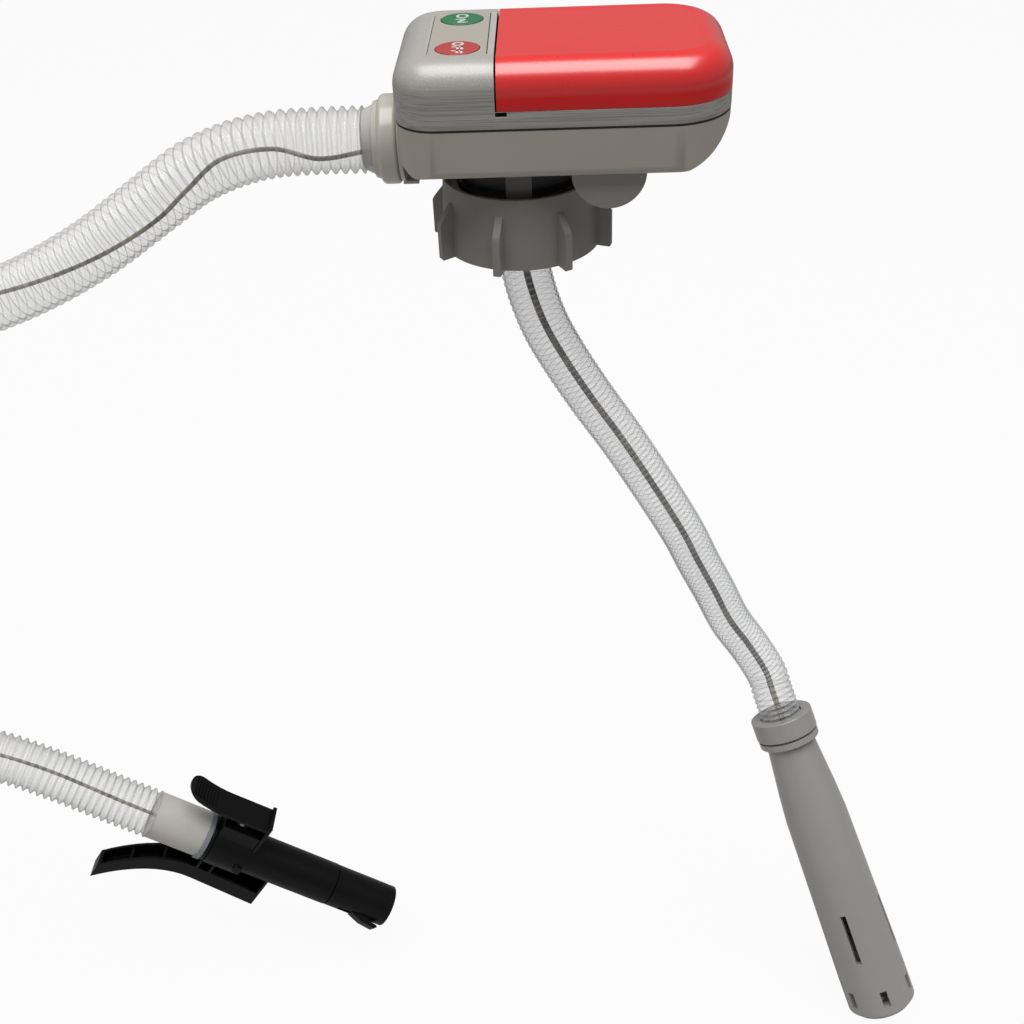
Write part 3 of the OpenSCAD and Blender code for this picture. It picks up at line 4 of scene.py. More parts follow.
import bmesh
import bpy
import numpy as np
from mathutils import Matrix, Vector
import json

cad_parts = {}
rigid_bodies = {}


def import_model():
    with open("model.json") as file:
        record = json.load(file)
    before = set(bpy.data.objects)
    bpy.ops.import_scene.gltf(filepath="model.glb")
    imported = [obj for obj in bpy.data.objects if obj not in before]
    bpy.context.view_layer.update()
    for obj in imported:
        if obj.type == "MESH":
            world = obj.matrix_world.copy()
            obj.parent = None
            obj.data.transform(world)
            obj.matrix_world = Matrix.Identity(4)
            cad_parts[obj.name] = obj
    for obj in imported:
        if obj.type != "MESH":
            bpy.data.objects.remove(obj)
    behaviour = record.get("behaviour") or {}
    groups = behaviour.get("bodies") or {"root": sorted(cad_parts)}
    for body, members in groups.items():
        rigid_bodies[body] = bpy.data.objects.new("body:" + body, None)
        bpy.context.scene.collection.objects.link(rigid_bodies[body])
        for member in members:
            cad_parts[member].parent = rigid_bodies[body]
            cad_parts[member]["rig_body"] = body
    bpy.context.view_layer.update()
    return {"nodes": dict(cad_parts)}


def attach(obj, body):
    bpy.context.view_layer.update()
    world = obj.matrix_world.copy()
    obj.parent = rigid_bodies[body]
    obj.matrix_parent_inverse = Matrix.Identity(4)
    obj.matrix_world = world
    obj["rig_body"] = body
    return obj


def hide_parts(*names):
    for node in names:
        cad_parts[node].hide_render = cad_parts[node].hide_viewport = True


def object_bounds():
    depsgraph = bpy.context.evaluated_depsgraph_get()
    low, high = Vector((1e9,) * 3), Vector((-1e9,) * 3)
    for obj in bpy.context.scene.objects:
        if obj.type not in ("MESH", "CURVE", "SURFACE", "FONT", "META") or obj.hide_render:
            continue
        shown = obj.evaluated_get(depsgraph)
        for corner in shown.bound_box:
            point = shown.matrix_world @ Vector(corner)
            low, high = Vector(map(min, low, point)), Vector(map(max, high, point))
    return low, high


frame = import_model()

# Camera: it stands in front of the pump head and looks down on it, turned a
# little to the left and rolled a little, as the photograph was taken.
eye = np.array([0.0140, -0.5485, 0.2263])
pitch, yaw, roll = radians(35.7), radians(-2.5), radians(-2.6)
ahead = np.array([sin(yaw) * cos(pitch), cos(yaw) * cos(pitch), -sin(pitch)])
level = np.array([cos(yaw), -sin(yaw), 0.0])
upward = np.cross(level, ahead)
across = level * cos(roll) + upward * sin(roll)
raised = upward * cos(roll) - level * sin(roll)
lens = bpy.data.cameras.new("view")
lens.lens, lens.sensor_width = 47.33, 36
lens.clip_end = 20
camera = bpy.data.objects.new("view", lens)
bpy.context.scene.collection.objects.link(camera)
camera.matrix_world = Matrix(
    [[*row, place] for row, place in zip(np.stack([across, raised, -ahead], 1), eye)] + [[0, 0, 0, 1]]
)
bpy.context.scene.camera = camera


# Discharge hose: a clear corrugated PVC hose of 28 mm, blown with a rib every
# 4.2 mm. It leaves the ferrule at the head and is pushed into the nozzle's cuff.
class Value:
    """A socket of a material's nodes. Sums, products and powers of it add Math nodes."""

    def __init__(self, finish, socket):
        self.finish, self.socket = finish, socket

    def maths(self, operation, *values):
        return self.finish.node("ShaderNodeMath", {"operation": operation}, *values)

    def __add__(self, other):
        return self.maths("ADD", self, other)

    def __sub__(self, other):
        return self.maths("SUBTRACT", self, other)

    def __rsub__(self, other):
        return self.maths("SUBTRACT", other, self)

    def __mul__(self, other):
        return self.maths("MULTIPLY", self, other)

    def __pow__(self, other):
        return self.maths("POWER", self, other)

    __radd__, __rmul__ = __add__, __mul__

    def above(self, edge, soft):
        """0 below edge, 1 above edge + soft, and a smooth rise between them."""
        smooth = {"interpolation_type": "SMOOTHSTEP"}
        return self.finish.node("ShaderNodeMapRange", smooth, self, edge, edge + soft, 0.0, 1.0)


class Finish:
    """A material with one Principled shader, and the nodes that vary it."""

    def __init__(self, name, colour, roughness, **constants):
        self.material = bpy.data.materials.new(name)
        self.material.use_nodes = True
        self.tree = self.material.node_tree
        self.shader = self.tree.nodes["Principled BSDF"]
        self.shader.inputs["Base Color"].default_value = (*colour, 1)
        self.shader.inputs["Roughness"].default_value = roughness
        for socket, value in constants.items():
            self.shader.inputs[socket.replace("_", " ")].default_value = value

    def node(self, kind, settings, *sockets, out=0):
        """Adds a node: its settings first, then the values or links of its sockets in order."""
        made = self.tree.nodes.new(kind)
        for key, value in settings.items():
            setattr(made, key, value)
        live = [s for s in made.inputs if s.enabled]
        for socket, value in zip(live, sockets):
            if isinstance(value, Value):
                self.tree.links.new(value.socket, socket)
            elif value is not None:
                socket.default_value = value
        return Value(self, [s for s in made.outputs if s.enabled][out])

    def place(self, scale=(1, 1, 1)):
        """The point on the object, in metres times scale."""
        spot = self.node("ShaderNodeTexCoord", {}, out=3)
        return self.node("ShaderNodeMapping", {}, spot, None, None, scale)

    def along(self, axis):
        """The point's place along X, Y or Z, in metres."""
        return self.node("ShaderNodeSeparateXYZ", {}, self.place(), out="XYZ".index(axis))

    def edge_on(self, blend):
        """0 where the surface faces the view and 1 where it's seen edge on."""
        return self.node("ShaderNodeLayerWeight", {}, blend, out=1)

    def noise(self, scale, detail=3.0, rough=0.55, stretch=(1, 1, 1)):
        """Cloudy noise between 0 and 1, with scale waves to the metre."""
        solid = {"noise_dimensions": "3D"}
        return self.node("ShaderNodeTexNoise", solid, self.place(stretch), scale, detail, rough)

    def spots(self, scale):
        """The distance to the nearest of many scattered points, in cells of 1 / scale metres."""
        return self.node("ShaderNodeTexVoronoi", {"feature": "F1"}, self.place(), scale)

    def mix(self, share, first, second):
        """The first colour where share is 0 and the second where it is 1."""
        made = self.tree.nodes.new("ShaderNodeMix")
        made.data_type = "RGBA"
        for key, value in (("Factor", share), ("A", first), ("B", second)):
            socket = [s for s in made.inputs if s.name == key and s.enabled][0]
            if isinstance(value, Value):
                self.tree.links.new(value.socket, socket)
            else:
                socket.default_value = value if key == "Factor" else (*value[:3], 1)
        return Value(self, [s for s in made.outputs if s.enabled][0])

    def vary(self, **sockets):
        """Links values to the shader's sockets of these names."""
        for socket, value in sockets.items():
            self.tree.links.new(value.socket, self.shader.inputs[socket.replace("_", " ")])

    def bump(self, height, depth, strength=1.0):
        """Raises the surface by height, where 1 is depth metres."""
        made = self.tree.nodes.new("ShaderNodeBump")
        made.inputs["Strength"].default_value = strength
        made.inputs["Distance"].default_value = depth
        self.tree.links.new(height.socket, made.inputs["Height"])
        self.tree.links.new(made.outputs["Normal"], self.shader.inputs["Normal"])


def smooth_line(points, count):
    """A line through the points: on each span p + t m + t^2 (...) + t^3 (...) with the
    neighbours' differences as slopes (Catmull-Rom), then count points at even distances."""
    p = np.array(points, float)
    ends = np.vstack([p[:1], p, p[-1:]])
    t = np.linspace(0, 1, 40, endpoint=False)[None, :, None]
    a, b, c, d = (ends[k : len(p) - 1 + k, None] for k in range(4))
    dense = 0.5 * (2 * b + (c - a) * t + (2 * a - 5 * b + 4 * c - d) * t**2 + (3 * b - a - 3 * c + d) * t**3)
    dense = np.vstack([dense.reshape(-1, 3), p[-1:]])
    miles = np.r_[0, np.cumsum(np.linalg.norm(np.diff(dense, axis=0), axis=1))]
    even = np.linspace(0, miles[-1], count)
    return np.stack([np.interp(even, miles, dense[:, k]) for k in range(3)], 1), miles[-1]


def square_to(line):
    """Two unit vectors square to the line at each point: u = Y x d, v = d x u."""
    d = np.gradient(line, axis=0)
    d /= np.linalg.norm(d, axis=1, keepdims=True)
    u = np.cross([0, 1, 0], d)
    u /= np.linalg.norm(u, axis=1, keepdims=True)
    return u, np.cross(d, u)


def grid_faces(rows, columns, closed):
    """Quads between neighbouring rows of a grid of points, closed round its columns or open."""
    k = np.arange(rows - 1)[:, None] * columns
    m = np.arange(columns if closed else columns - 1)[None]
    n = (m + 1) % columns
    return np.stack([k + m, k + n, k + columns + n, k + columns + m], -1).reshape(-1, 4)


def new_piece(name, points, faces, finish, body, caps=()):
    """An object of these points and faces, smooth, riding on a body. Caps close rings of points."""
    mesh = bpy.data.meshes.new(name)
    corners = np.asarray(points).reshape(-1, 3).tolist()
    mesh.from_pydata(corners, [], [*np.asarray(faces).tolist(), *caps])
    mesh.polygons.foreach_set("use_smooth", [True] * len(mesh.polygons))
    mesh.set_sharp_from_angle(angle=radians(42))
    mesh.materials.append(finish.material)
    mesh.validate()
    piece = bpy.data.objects.new(name, mesh)
    bpy.context.scene.collection.objects.link(piece)
    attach(piece, body)
    return piece


def carried(name, line, radii, sides, finish, body):
    """A tube: rings of sides points round the line, p + r (cos a u + sin a v), with capped ends."""
    u, v = square_to(line)
    a = np.arange(sides) * 2 * pi / sides
    turn = np.cos(a)[None, :, None] * u[:, None] + np.sin(a)[None, :, None] * v[:, None]
    points = line[:, None] + np.asarray(radii)[:, None, None] * turn
    last = (len(line) - 1) * sides
    caps = [list(range(sides - 1, -1, -1)), list(range(last, last + sides))]
    return new_piece(name, points, grid_faces(len(line), sides, True), finish, body, caps)


def corrugated(name, route, pitch, rings, radius, rise, sides, finish):
    """A hose along a route in mm, with a rib every pitch metres drawn by so many rings. Its
    radius is radius + rise (0.5 + 0.5 cos 2 pi s)^1.2, where s counts ribs. Gives the piece,
    its line and its length."""
    _, length = smooth_line(np.array(route) / 1000, 40)
    line, _ = smooth_line(np.array(route) / 1000, round(length / pitch) * rings + 1)
    crest = (0.5 + 0.5 * np.cos(2 * pi * np.arange(len(line)) / rings)) ** 1.2
    return carried(name, line, radius + rise * crest, sides, finish, "pump"), line, length


clear = Finish("clear_hose", (0.90, 0.885, 0.87), 0.10, Specular_IOR_Level=0.9)
edge_on = clear.edge_on(0.5)
haze = clear.noise(40, 2.0, 0.5)
clear.vary(
    Alpha=0.22 + 0.08 * haze + 0.55 * edge_on**2,
    Base_Color=clear.mix(edge_on.above(0.35, 0.5), (0.92, 0.905, 0.89), (0.60, 0.585, 0.57)),
    Roughness=0.07 + 0.08 * haze,
)

hose_route = [
    [-64.95, 0, 25.7], [-84, 0, 25.7], [-103, 0, 24.8], [-121, 0, 21], [-140, 0, 13], [-161, 0, -1],
    [-190, -1, -20], [-222, -2, -36], [-256, -3, -48], [-291, -4, -56], [-327, -5, -62], [-362, -7, -70],
    [-395, -9, -83], [-423, -12, -103], [-443, -15, -130], [-453, -18, -162], [-452, -21, -195],
    [-441, -23, -226], [-421, -25, -252], [-394, -27, -271], [-360, -28, -283], [-325, -29, -295],
    [-290, -30, -309], [-262, -30, -326], [-243, -30, -339], [-221, -30, -353.5],
]
hose_rings = 12
discharge_hose, hose_line, hose_length = corrugated(
    "clear_discharge_hose", hose_route, 0.0042, hose_rings, 0.01185, 0.00205, 40, clear
)
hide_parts("discharge_hose")

# Suction hose: the same hose in 22.5 mm with finer ribs. It hangs from the barb
# under the cap and carries the foot, held in the foot's nut.
suction_clear = Finish("clear_suction_hose", (0.82, 0.835, 0.84), 0.14, Specular_IOR_Level=0.8)
edge_on = suction_clear.edge_on(0.5)
haze = suction_clear.noise(40, 2.0, 0.5)
suction_clear.vary(
    Alpha=0.24 + 0.08 * haze + 0.50 * edge_on**2,
    Base_Color=suction_clear.mix(edge_on.above(0.35, 0.5), (0.84, 0.85, 0.855), (0.55, 0.565, 0.575)),
)
suction_route = [
    [0, 0, 1.8], [0, 0, -12], [0, 0, -26], [3, 0, -44], [9, 0, -63], [18, 1, -82], [30, 1, -103],
    [44, 2, -126], [59, 2, -152], [76, 3, -184], [85, 5, -205], [95, 7, -227], [104.5, 8, -248.5],
    [116, 8, -267], [126, 5, -284], [129.779, -0.459, -294.024], [136.468, -9.239, -311.417],
]
suction_rings = 8
suction_hose, suction_line, suction_length = corrugated(
    "clear_suction_hose", suction_route, 0.0030, suction_rings, 0.0101, 0.00115, 32, suction_clear
)
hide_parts("suction_hose")

# Cables: the level sensor's thin cable lies loose in the discharge hose, and the
# motor's cable runs down the suction hose. Both have soft PVC jackets.
jacket = Finish("cable_jacket", (0.10, 0.092, 0.08), 0.4)
stripes = jacket.noise(90, 2.0, 0.5)
jacket.vary(Base_Color=jacket.mix(stripes.above(0.42, 0.18), (0.05, 0.045, 0.04), (0.27, 0.22, 0.15)))


def jacketed(name, route, radius, count, sides):
    """A cable along a route in mm, in count rings. Gives the piece, its line and its length."""
    line, length = smooth_line(np.array(route) / 1000, count)
    return carried(name, line, np.full(count, radius), sides, jacket, "pump"), line, length


# The sensor's cable strays from the hose's middle by these (distance, offset) pairs in mm.
lie_up = [
    [0, -5], [18, -7.6], [38, -3], [58, 2], [80, -3], [105, -6.2], [150, -4], [220, 5],
    [320, -6], [420, 4], [520, -5], [620, 5], [720, -4], [775, 0],
]
lie_back = [
    [0, 0], [18, -2], [38, 3], [58, -6], [80, -6.5], [105, -4], [150, 5], [220, 3],
    [320, -4], [420, 5], [520, -4], [620, 4], [720, -2], [775, 0],
]
middle, total = smooth_line(hose_route, 40)
u, v = square_to(middle)
gone = np.linspace(0, total, 40)
up, back = (np.interp(gone, *np.array(k, float).T)[:, None] for k in (lie_up, lie_back))
slope = radians(33.6)
nozzle_from = np.array([-192.6, -30, -372.3])
nozzle_axis = np.array([cos(slope), 0, -sin(slope)])
nozzle_up = np.array([sin(slope), 0, cos(slope)])
in_nozzle = [(-17, 0, 0), (0, 0, -1), (26.3, 0, -2), (52.7, 0, -4), (78, -4, -2), (88, -6.8, -3.3)]
gland = np.array([-21.5, 0, 36.5])
sensor_route = np.vstack([
    gland + [[-2, 0, 0], [-2, 0, -2.5], [-3, 0, -5.5], [-7, 0, -9.8], [-14, 0, -12.8]],
    [[-47.8, 0, 23.7]], middle + up * u + back * v,
    [nozzle_from + x * nozzle_axis + z * nozzle_up + [0, y, 0] for x, y, z in in_nozzle],
])
sensor_cable, cable_line, cable_length = jacketed("sensor_cable_jacket", sensor_route, 0.001, 420, 12)
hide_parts("sensor_cable")
foot_axis = np.array([-0.324705, 0.426236, 0.844328])
foot_from = np.array([134, -6, -305])
out_of_gland = [
    [1.9, 0, 0], [1.9, 0, -2.5], [3, 0, -5.5], [9.5, 0, -9.8], [16.5, 0, -15.8], [20.5, 0, -23.8],
]
motor_route = np.vstack([
    gland + out_of_gland,
    suction_route[1:-1], [foot_from + z * foot_axis for z in (-30, -50, -68.9)],
])
motor_cable, cable_line, cable_length = jacketed("motor_cable_jacket", motor_route, 0.0016, 220, 14)
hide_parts("motor_cable")

# Head shells: the grey upper half and the satin red battery cover, moulded ABS
# of 2.2 mm with edges rounded to 11 mm. Each skin lies just outside its solid.
def outline(x0, x1, half_w, left_r, right_r, stops, arc=14):
    """The plan's edge from the groove round the battery end and back round the outlet end:
    a centre, an outward direction and a radius for each column, so that a point at inset d
    is centre + (radius - d) direction. Stops are places along X that get a column."""
    a = np.linspace(0, pi / 2, arc)
    front = np.array([x for x in stops if x0 + left_r < x < x1 - right_r])

    def side(xs, s, r):
        centres = np.stack([xs, np.full(len(xs), s * (half_w - r))], 1)
        return [centres, np.tile([0.0, s], (len(xs), 1)), np.full(len(xs), r)]

    def corner(cx, cy, start, r):
        t = start + a
        return [np.tile([cx, cy], (arc, 1)), np.stack([np.cos(t), np.sin(t)], 1), np.full(arc, r)]

    parts = [
        side(front, -1, right_r),
        corner(x1 - right_r, right_r - half_w, -pi / 2, right_r),
        corner(x1 - right_r, half_w - right_r, 0, right_r),
        side(front[::-1], 1, right_r),
        corner(x0 + left_r, half_w - left_r, pi / 2, left_r),
        corner(x0 + left_r, left_r - half_w, pi, left_r),
    ]
    return [np.concatenate(k) for k in zip(*parts)]


def shell_points(heights, lift, taper):
    """Rows up the wall, round the 11 mm edge and a little way over the flat top, lift metres
    outside the solid and sinking into it over the last rows."""
    edge, top = 0.011, 0.0682
    centre, out, radius = plan_edge
    wall_z = np.array(heights)
    bend = np.linspace(0, pi / 2, 15)[1:]
    flat = np.linspace(0, 0.003, 5)[1:]
    inset = np.r_[np.full(len(wall_z), -lift), edge - (edge + lift) * np.cos(bend), edge + flat]
    crown = top + lift - (lift + taper) * flat / flat[-1]
    z = np.r_[wall_z, top - edge + (edge + lift) * np.sin(bend), crown]
    spot = centre[None] + (radius[None, :, None] - inset[:, None, None]) * out[None]
    return np.dstack([spot, np.broadcast_to(z[:, None], spot.shape[:2])])


groove, slit, notch_x = -0.0078, 0.0008, -0.0032
band, notch_z, seam = 0.0501, 0.0484, 0.0429
hair = 0.0001
stops = [groove + hair, groove + slit - hair, notch_x, 0.01, 0.03, 0.05]
plan_edge = outline(-0.0478, 0.0852, 0.042, 0.017, 0.025, stops)
heights = [seam + 0.0006, 0.0455, notch_z, band - hair, band + hair, 0.0530, 0.0572]
skin = shell_points(heights, 0.00015, 0.00008)
rows, columns = skin.shape[:2]
quads = grid_faces(rows, columns, True)
quad_x, _, quad_z = skin.reshape(-1, 3)[quads].mean(1).T
in_cover = (quad_x > groove + slit - 1.1 * hair) & (quad_z > band)
in_groove = (quad_x > groove) & (quad_x < groove + slit) & (quad_z > band)
in_notch = (quad_x > groove) & (quad_x < notch_x) & (quad_z > notch_z) & (quad_z < band)


def walled(piece, wall, side=-1):
    """Gives a sheet a wall, inwards for side -1 and half on each side for 0."""
    sheet = piece.modifiers.new("wall", "SOLIDIFY")
    sheet.thickness, sheet.offset = wall, side


def rimmed(piece, width, angle):
    """Rounds the edges sharper than angle degrees by width."""
    rim = piece.modifiers.new("rim", "BEVEL")
    rim.width, rim.segments, rim.limit_method, rim.angle_limit = width, 2, "ANGLE", radians(angle)


def skin_piece(name, chosen, finish, body, wall):
    """The chosen quads of the skin as a sheet with a wall inwards and a softened rim."""
    piece = new_piece(name, skin, quads[chosen], finish, body)
    made = bmesh.new()
    made.from_mesh(piece.data)
    bmesh.ops.delete(made, geom=[v for v in made.verts if not v.link_faces], context="VERTS")
    made.to_mesh(piece.data)
    made.free()
    walled(piece, wall)
    rimmed(piece, 0.0002, 50)
    return piece


grey_abs = Finish(
    "grey_abs", (0.46, 0.44, 0.41), 0.36, Specular_IOR_Level=0.6, Coat_Roughness=0.34, Coat_IOR=1.7
)
grain = grey_abs.noise(1500, 2.0, 0.6)
brushed = grey_abs.noise(330, 4.0, 0.65, (0.05, 0.6, 6))
cloud = grey_abs.noise(26, 2.0, 0.5)
height = grey_abs.along("Z")
low = 1 - height.above(0.054, 0.010)
on_bend = height.above(0.0575, 0.003) * (1 - height.above(0.0679, 0.0004))
# Painted highlight: light grain flecks on the rounded front edge, mixed into the colour where the light
# catches the bend.
painted_glint = grain.above(0.54, 0.20) * on_bend
streak = low * brushed.above(0.46, 0.14)
tone = grey_abs.mix(0.55 * streak + 0.10 * cloud, (0.47, 0.45, 0.42), (0.22, 0.205, 0.185))
grey_abs.vary(
    Base_Color=grey_abs.mix(0.45 * painted_glint, tone, (0.80, 0.78, 0.74)),
    Roughness=0.30 + 0.14 * grain + 0.10 * streak,
    Coat_Weight=0.9 * on_bend,
)
grey_abs.bump(grain * (1 - low) + brushed * low * 1.6, 0.00018, 0.6)
red_abs = Finish(
    "red_abs", (0.86, 0.010, 0.009), 0.26, Specular_IOR_Level=0.3, Coat_Roughness=0.26, Coat_IOR=1.85
)
wear = red_abs.spots(430)
patches = red_abs.noise(70, 3.0, 0.6)
height = red_abs.along("Z")
on_edge = height.above(0.0545, 0.003) * (1 - height.above(0.0673, 0.0024))
nicks = (1 - wear.above(0.07, 0.07)) * patches.above(0.58, 0.05) * on_edge
# Painted shade: below 60 mm the red is painted a little darker than the lit top; the dark nicks on the upper
# edge are real wear.
red_abs.vary(
    Base_Color=red_abs.mix(
        height.above(0.060, 0.010), (0.84, 0.009, 0.009),
        red_abs.mix(0.8 * nicks, (0.88, 0.018, 0.016), (0.20, 0.008, 0.008)),
    ),
    Roughness=0.24 + 0.10 * patches,
    Coat_Weight=0.15 + 0.85 * on_edge,
)
red_abs.bump(red_abs.noise(260, 1.0, 0.5), 0.00002, 0.08)
upper_skin = skin_piece("upper_case_skin", ~in_cover & ~in_groove & ~in_notch, grey_abs, "pump", 0.0005)
cover_skin = skin_piece("battery_cover_skin", in_cover, red_abs, "cover", 0.0005)


def paint(finish, *names):
    """Gives CAD nodes a material in place of their own."""
    for name in names:
        slots = frame["nodes"][name].data.materials
        slots.clear()
        slots.append(finish.material)


# Painted shade: the inside of the upper case is painted near black where it is seen through the notch and
# gaps; only the flat top above 67.4 mm keeps the case's grey.
shaded_inside = Finish("case_inside_painted_shade", (0.05, 0.048, 0.045), 0.6)
height = shaded_inside.along("Z")
shaded_inside.vary(Base_Color=shaded_inside.mix(height.above(0.0674, 0.0004), (0.03, 0.028, 0.026), (0.47, 0.45, 0.42)))
shaded_inside.bump(shaded_inside.noise(1500, 2.0, 0.6), 0.0001, 0.5)
paint(shaded_inside, "upper_case")
paint(red_abs, "battery_cover")

# Seam shade: the dark line of painted shade in the seam between the two halves of the
# case. It shows as a thin near-black band round the whole plan, just proud of the walls.
seam_shade_black = Finish("seam_painted_shade", (0.012, 0.011, 0.010), 0.7)
seam_shade_black.bump(seam_shade_black.noise(300), 0.0001, 0.3)
centre, out, radius = plan_edge
levels = np.array([seam - 0.0003, seam + 0.0006])
ring = centre[None] + (radius[None, :, None] + 0.00006) * out[None]
ring = np.dstack([np.repeat(ring, 2, 0), np.broadcast_to(levels[:, None], (2, len(radius)))])
seam_shade_band = new_piece("seam_shade_band", ring, grid_faces(2, len(radius), True), seam_shade_black, "pump")
walled(seam_shade_band, 0.0004)


# Lower case: one grey-beige moulding with the pipe's saddle and the neck's hooks.
# Its edges are slightly rounded by the mould.
def softened(node, finish, width, angle=35):
    """A welded copy of a CAD node with its sharp edges rounded by width, which replaces it."""
    source = frame["nodes"][node]
    mesh = source.data.copy()
    made = bmesh.new()
    made.from_mesh(mesh)
    bmesh.ops.remove_doubles(made, verts=made.verts, dist=2e-6)
    bmesh.ops.dissolve_limit(made, angle_limit=radians(0.4), verts=made.verts, edges=made.edges)
    made.to_mesh(mesh)
    made.free()
    mesh.polygons.foreach_set("use_smooth", [True] * len(mesh.polygons))
    mesh.set_sharp_from_angle(angle=radians(angle))
    mesh.materials.clear()
    mesh.materials.append(finish.material)
    piece = bpy.data.objects.new(node + "_moulded", mesh)
    bpy.context.scene.collection.objects.link(piece)
    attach(piece, source["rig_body"])
    rimmed(piece, width, angle)
    even = piece.modifiers.new("even", "WEIGHTED_NORMAL")
    even.keep_sharp = True
    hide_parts(node)


lower_abs = Finish("warm_grey_abs", (0.48, 0.435, 0.38), 0.38)
soft_patch = lower_abs.noise(18, 3.0, 0.5)
height = lower_abs.along("Z")
# Painted shade: below 21.5 mm the hooks under the case are painted dark grey; the soft patches above are the
# moulding's own tone.
lower_abs.vary(
    Base_Color=lower_abs.mix(
        height.above(0.0215, 0.0009), (0.15, 0.148, 0.14),
        lower_abs.mix(soft_patch, (0.52, 0.47, 0.41), (0.46, 0.415, 0.365)),
    ),
    Roughness=0.34 + 0.12 * lower_abs.noise(90),
)
lower_abs.bump(lower_abs.noise(1100, 2.0, 0.6), 0.00006, 0.4)
softened("lower_case", lower_abs, 0.0005)

# Button panel: a pale beige label plate set into the grey top, with the two
# printed buttons, green and red.
def mottled(name, roughness, patch, first, second, grain, depth):
    """A moulded finish: soft patches of two colours under a fine grain."""
    made = Finish(name, first, roughness)
    made.vary(Base_Color=made.mix(made.noise(patch), first, second))
    made.bump(made.noise(*grain), depth, 0.4)
    return made


panel_abs = mottled(
    "beige_panel", 0.42, 30, (0.48, 0.445, 0.39), (0.43, 0.40, 0.35), (1200, 2.0, 0.6), 0.00004
)
softened("button_panel", panel_abs, 0.00015)
green_abs = mottled("green_button", 0.34, 60, (0.030, 0.21, 0.085), (0.024, 0.17, 0.068), (900,), 0.00003)
softened("on_button", green_abs, 0.0002)
rose_abs = mottled("red_button", 0.34, 60, (0.53, 0.062, 0.055), (0.46, 0.048, 0.044), (900,), 0.00003)
softened("off_button", rose_abs, 0.0002)


# Words on the buttons: white strokes printed on the discs. The words run
# towards the front, and the tops of their letters point to the battery end.
def stroke(x0, y0, x1, y1, w):
    """A bar of width w between two points of the plane: its four corners."""
    p, q = np.array([x0, y0]), np.array([x1, y1])
    d = (q - p) / np.linalg.norm(q - p)
    n = np.array([-d[1], d[0]]) * w / 2
    e = d * w / 2
    return [p - n - e, q - n + e, q + n + e, p + n - e]


def printed(name, glyphs, middle, height, finish, body):
    """Flat strokes 0.05 mm above a button: letter x runs to -Y and letter y to +X."""
    corners, faces = [], []
    for quad in glyphs:
        faces.append(list(range(len(corners), len(corners) + 4)))
        corners += quad
    flat = np.array(corners) * 0.001
    spot = np.stack([middle[0] + flat[:, 1], middle[1] - flat[:, 0], np.full(len(flat), height)], 1)
    piece = new_piece(name, spot, faces, finish, body)
    walled(piece, 0.00006, 0)


def ring_letter(cx, rx, ry, w, n=28):
    """A letter O: quads between an outer and an inner oval, w apart."""
    t = np.linspace(0, 2 * pi, n + 1)
    far = np.stack([cx + (rx + w / 2) * np.cos(t), (ry + w / 2) * np.sin(t)], 1)
    near = np.stack([cx + (rx - w / 2) * np.cos(t), (ry - w / 2) * np.sin(t)], 1)
    return [[far[k], far[k + 1], near[k + 1], near[k]] for k in range(n)]


ink_white = Finish("white_ink", (0.80, 0.79, 0.76), 0.5)
ink_white.vary(Base_Color=ink_white.mix(ink_white.noise(400), (0.82, 0.81, 0.78), (0.72, 0.71, 0.68)))
bar = 1.05
letter_n = [(1.0, -2.1, 1.0, 2.1), (1.0, 2.1, 5.2, -2.1), (5.2, -2.1, 5.2, 2.1)]
letters_on = ring_letter(-3.5, 2.2, 2.1, bar) + [stroke(*k, bar) for k in letter_n]
letter_f = [(0, -1.8, 0, 1.8), (0, 1.8, 2.9, 1.8), (0, 0.1, 2.4, 0.1)]
letters_off = ring_letter(-4.6, 1.9, 1.9, bar) + [
    stroke(a + s, b, c + s, d, bar) for s in (-0.9, 3.9) for a, b, c, d in letter_f
]
key_x, key_y, key_top = -0.02215, 0.01965, 0.06843
printed("word_on", letters_on, (key_x, key_y), key_top, ink_white, "on_key")
printed("word_off", letters_off, (key_x, -key_y), key_top, ink_white, "off_key")

# Battery bay: a black tray with four cells and plated contacts under the cover.
black_abs = mottled("black_abs", 0.42, 40, (0.018, 0.018, 0.019), (0.010, 0.010, 0.011), (1000,), 0.00005)
sleeve = Finish("cell_sleeve", (0.03, 0.08, 0.28), 0.25)
bare_end = sleeve.along("X").above(0.022, 0.0004)
sleeve.vary(Base_Color=sleeve.mix(bare_end, (0.03, 0.08, 0.28), (0.36, 0.35, 0.33)))
plated = Finish("plated_steel", (0.62, 0.60, 0.56), 0.28, Metallic=1.0)
plated.vary(Roughness=0.22 + 0.2 * plated.noise(200))
steel = Finish("plain_steel", (0.50, 0.51, 0.52), 0.30, Metallic=1.0)
steel.vary(Roughness=0.24 + 0.2 * steel.noise(300, 2.0, 0.5, (1, 1, 0.1)))
red_wire = Finish("red_insulation", (0.45, 0.02, 0.02), 0.4)
red_wire.bump(red_wire.noise(500), 0.00005, 0.3)
yellow_wire = Finish("yellow_insulation", (0.60, 0.42, 0.06), 0.4)
yellow_wire.bump(yellow_wire.noise(500), 0.00005, 0.3)
board_green = Finish("solder_mask", (0.02, 0.14, 0.06), 0.3)
tracks = board_green.noise(150).above(0.5, 0.02)
board_green.vary(Base_Color=board_green.mix(tracks, (0.02, 0.14, 0.06), (0.03, 0.19, 0.09)))
rubber = Finish("black_rubber", (0.020, 0.020, 0.021), 0.65)
rubber.bump(rubber.noise(800), 0.00006, 0.4)
paint(black_abs, "tact_switches")
softened("battery_tray", black_abs, 0.0002)
paint(sleeve, "battery_cells")
paint(plated, "positive_contacts", "negative_contacts")
paint(steel, "case_screws", "board_screws", "clip_pin", "motor_can", "motor_shaft")
paint(red_wire, "battery_leads")
paint(yellow_wire, "lead_wires")
paint(board_green, "control_board")
paint(rubber, "cable_gland", "cap_gasket", "outlet_seal", "foot_seal", "shaft_seal")

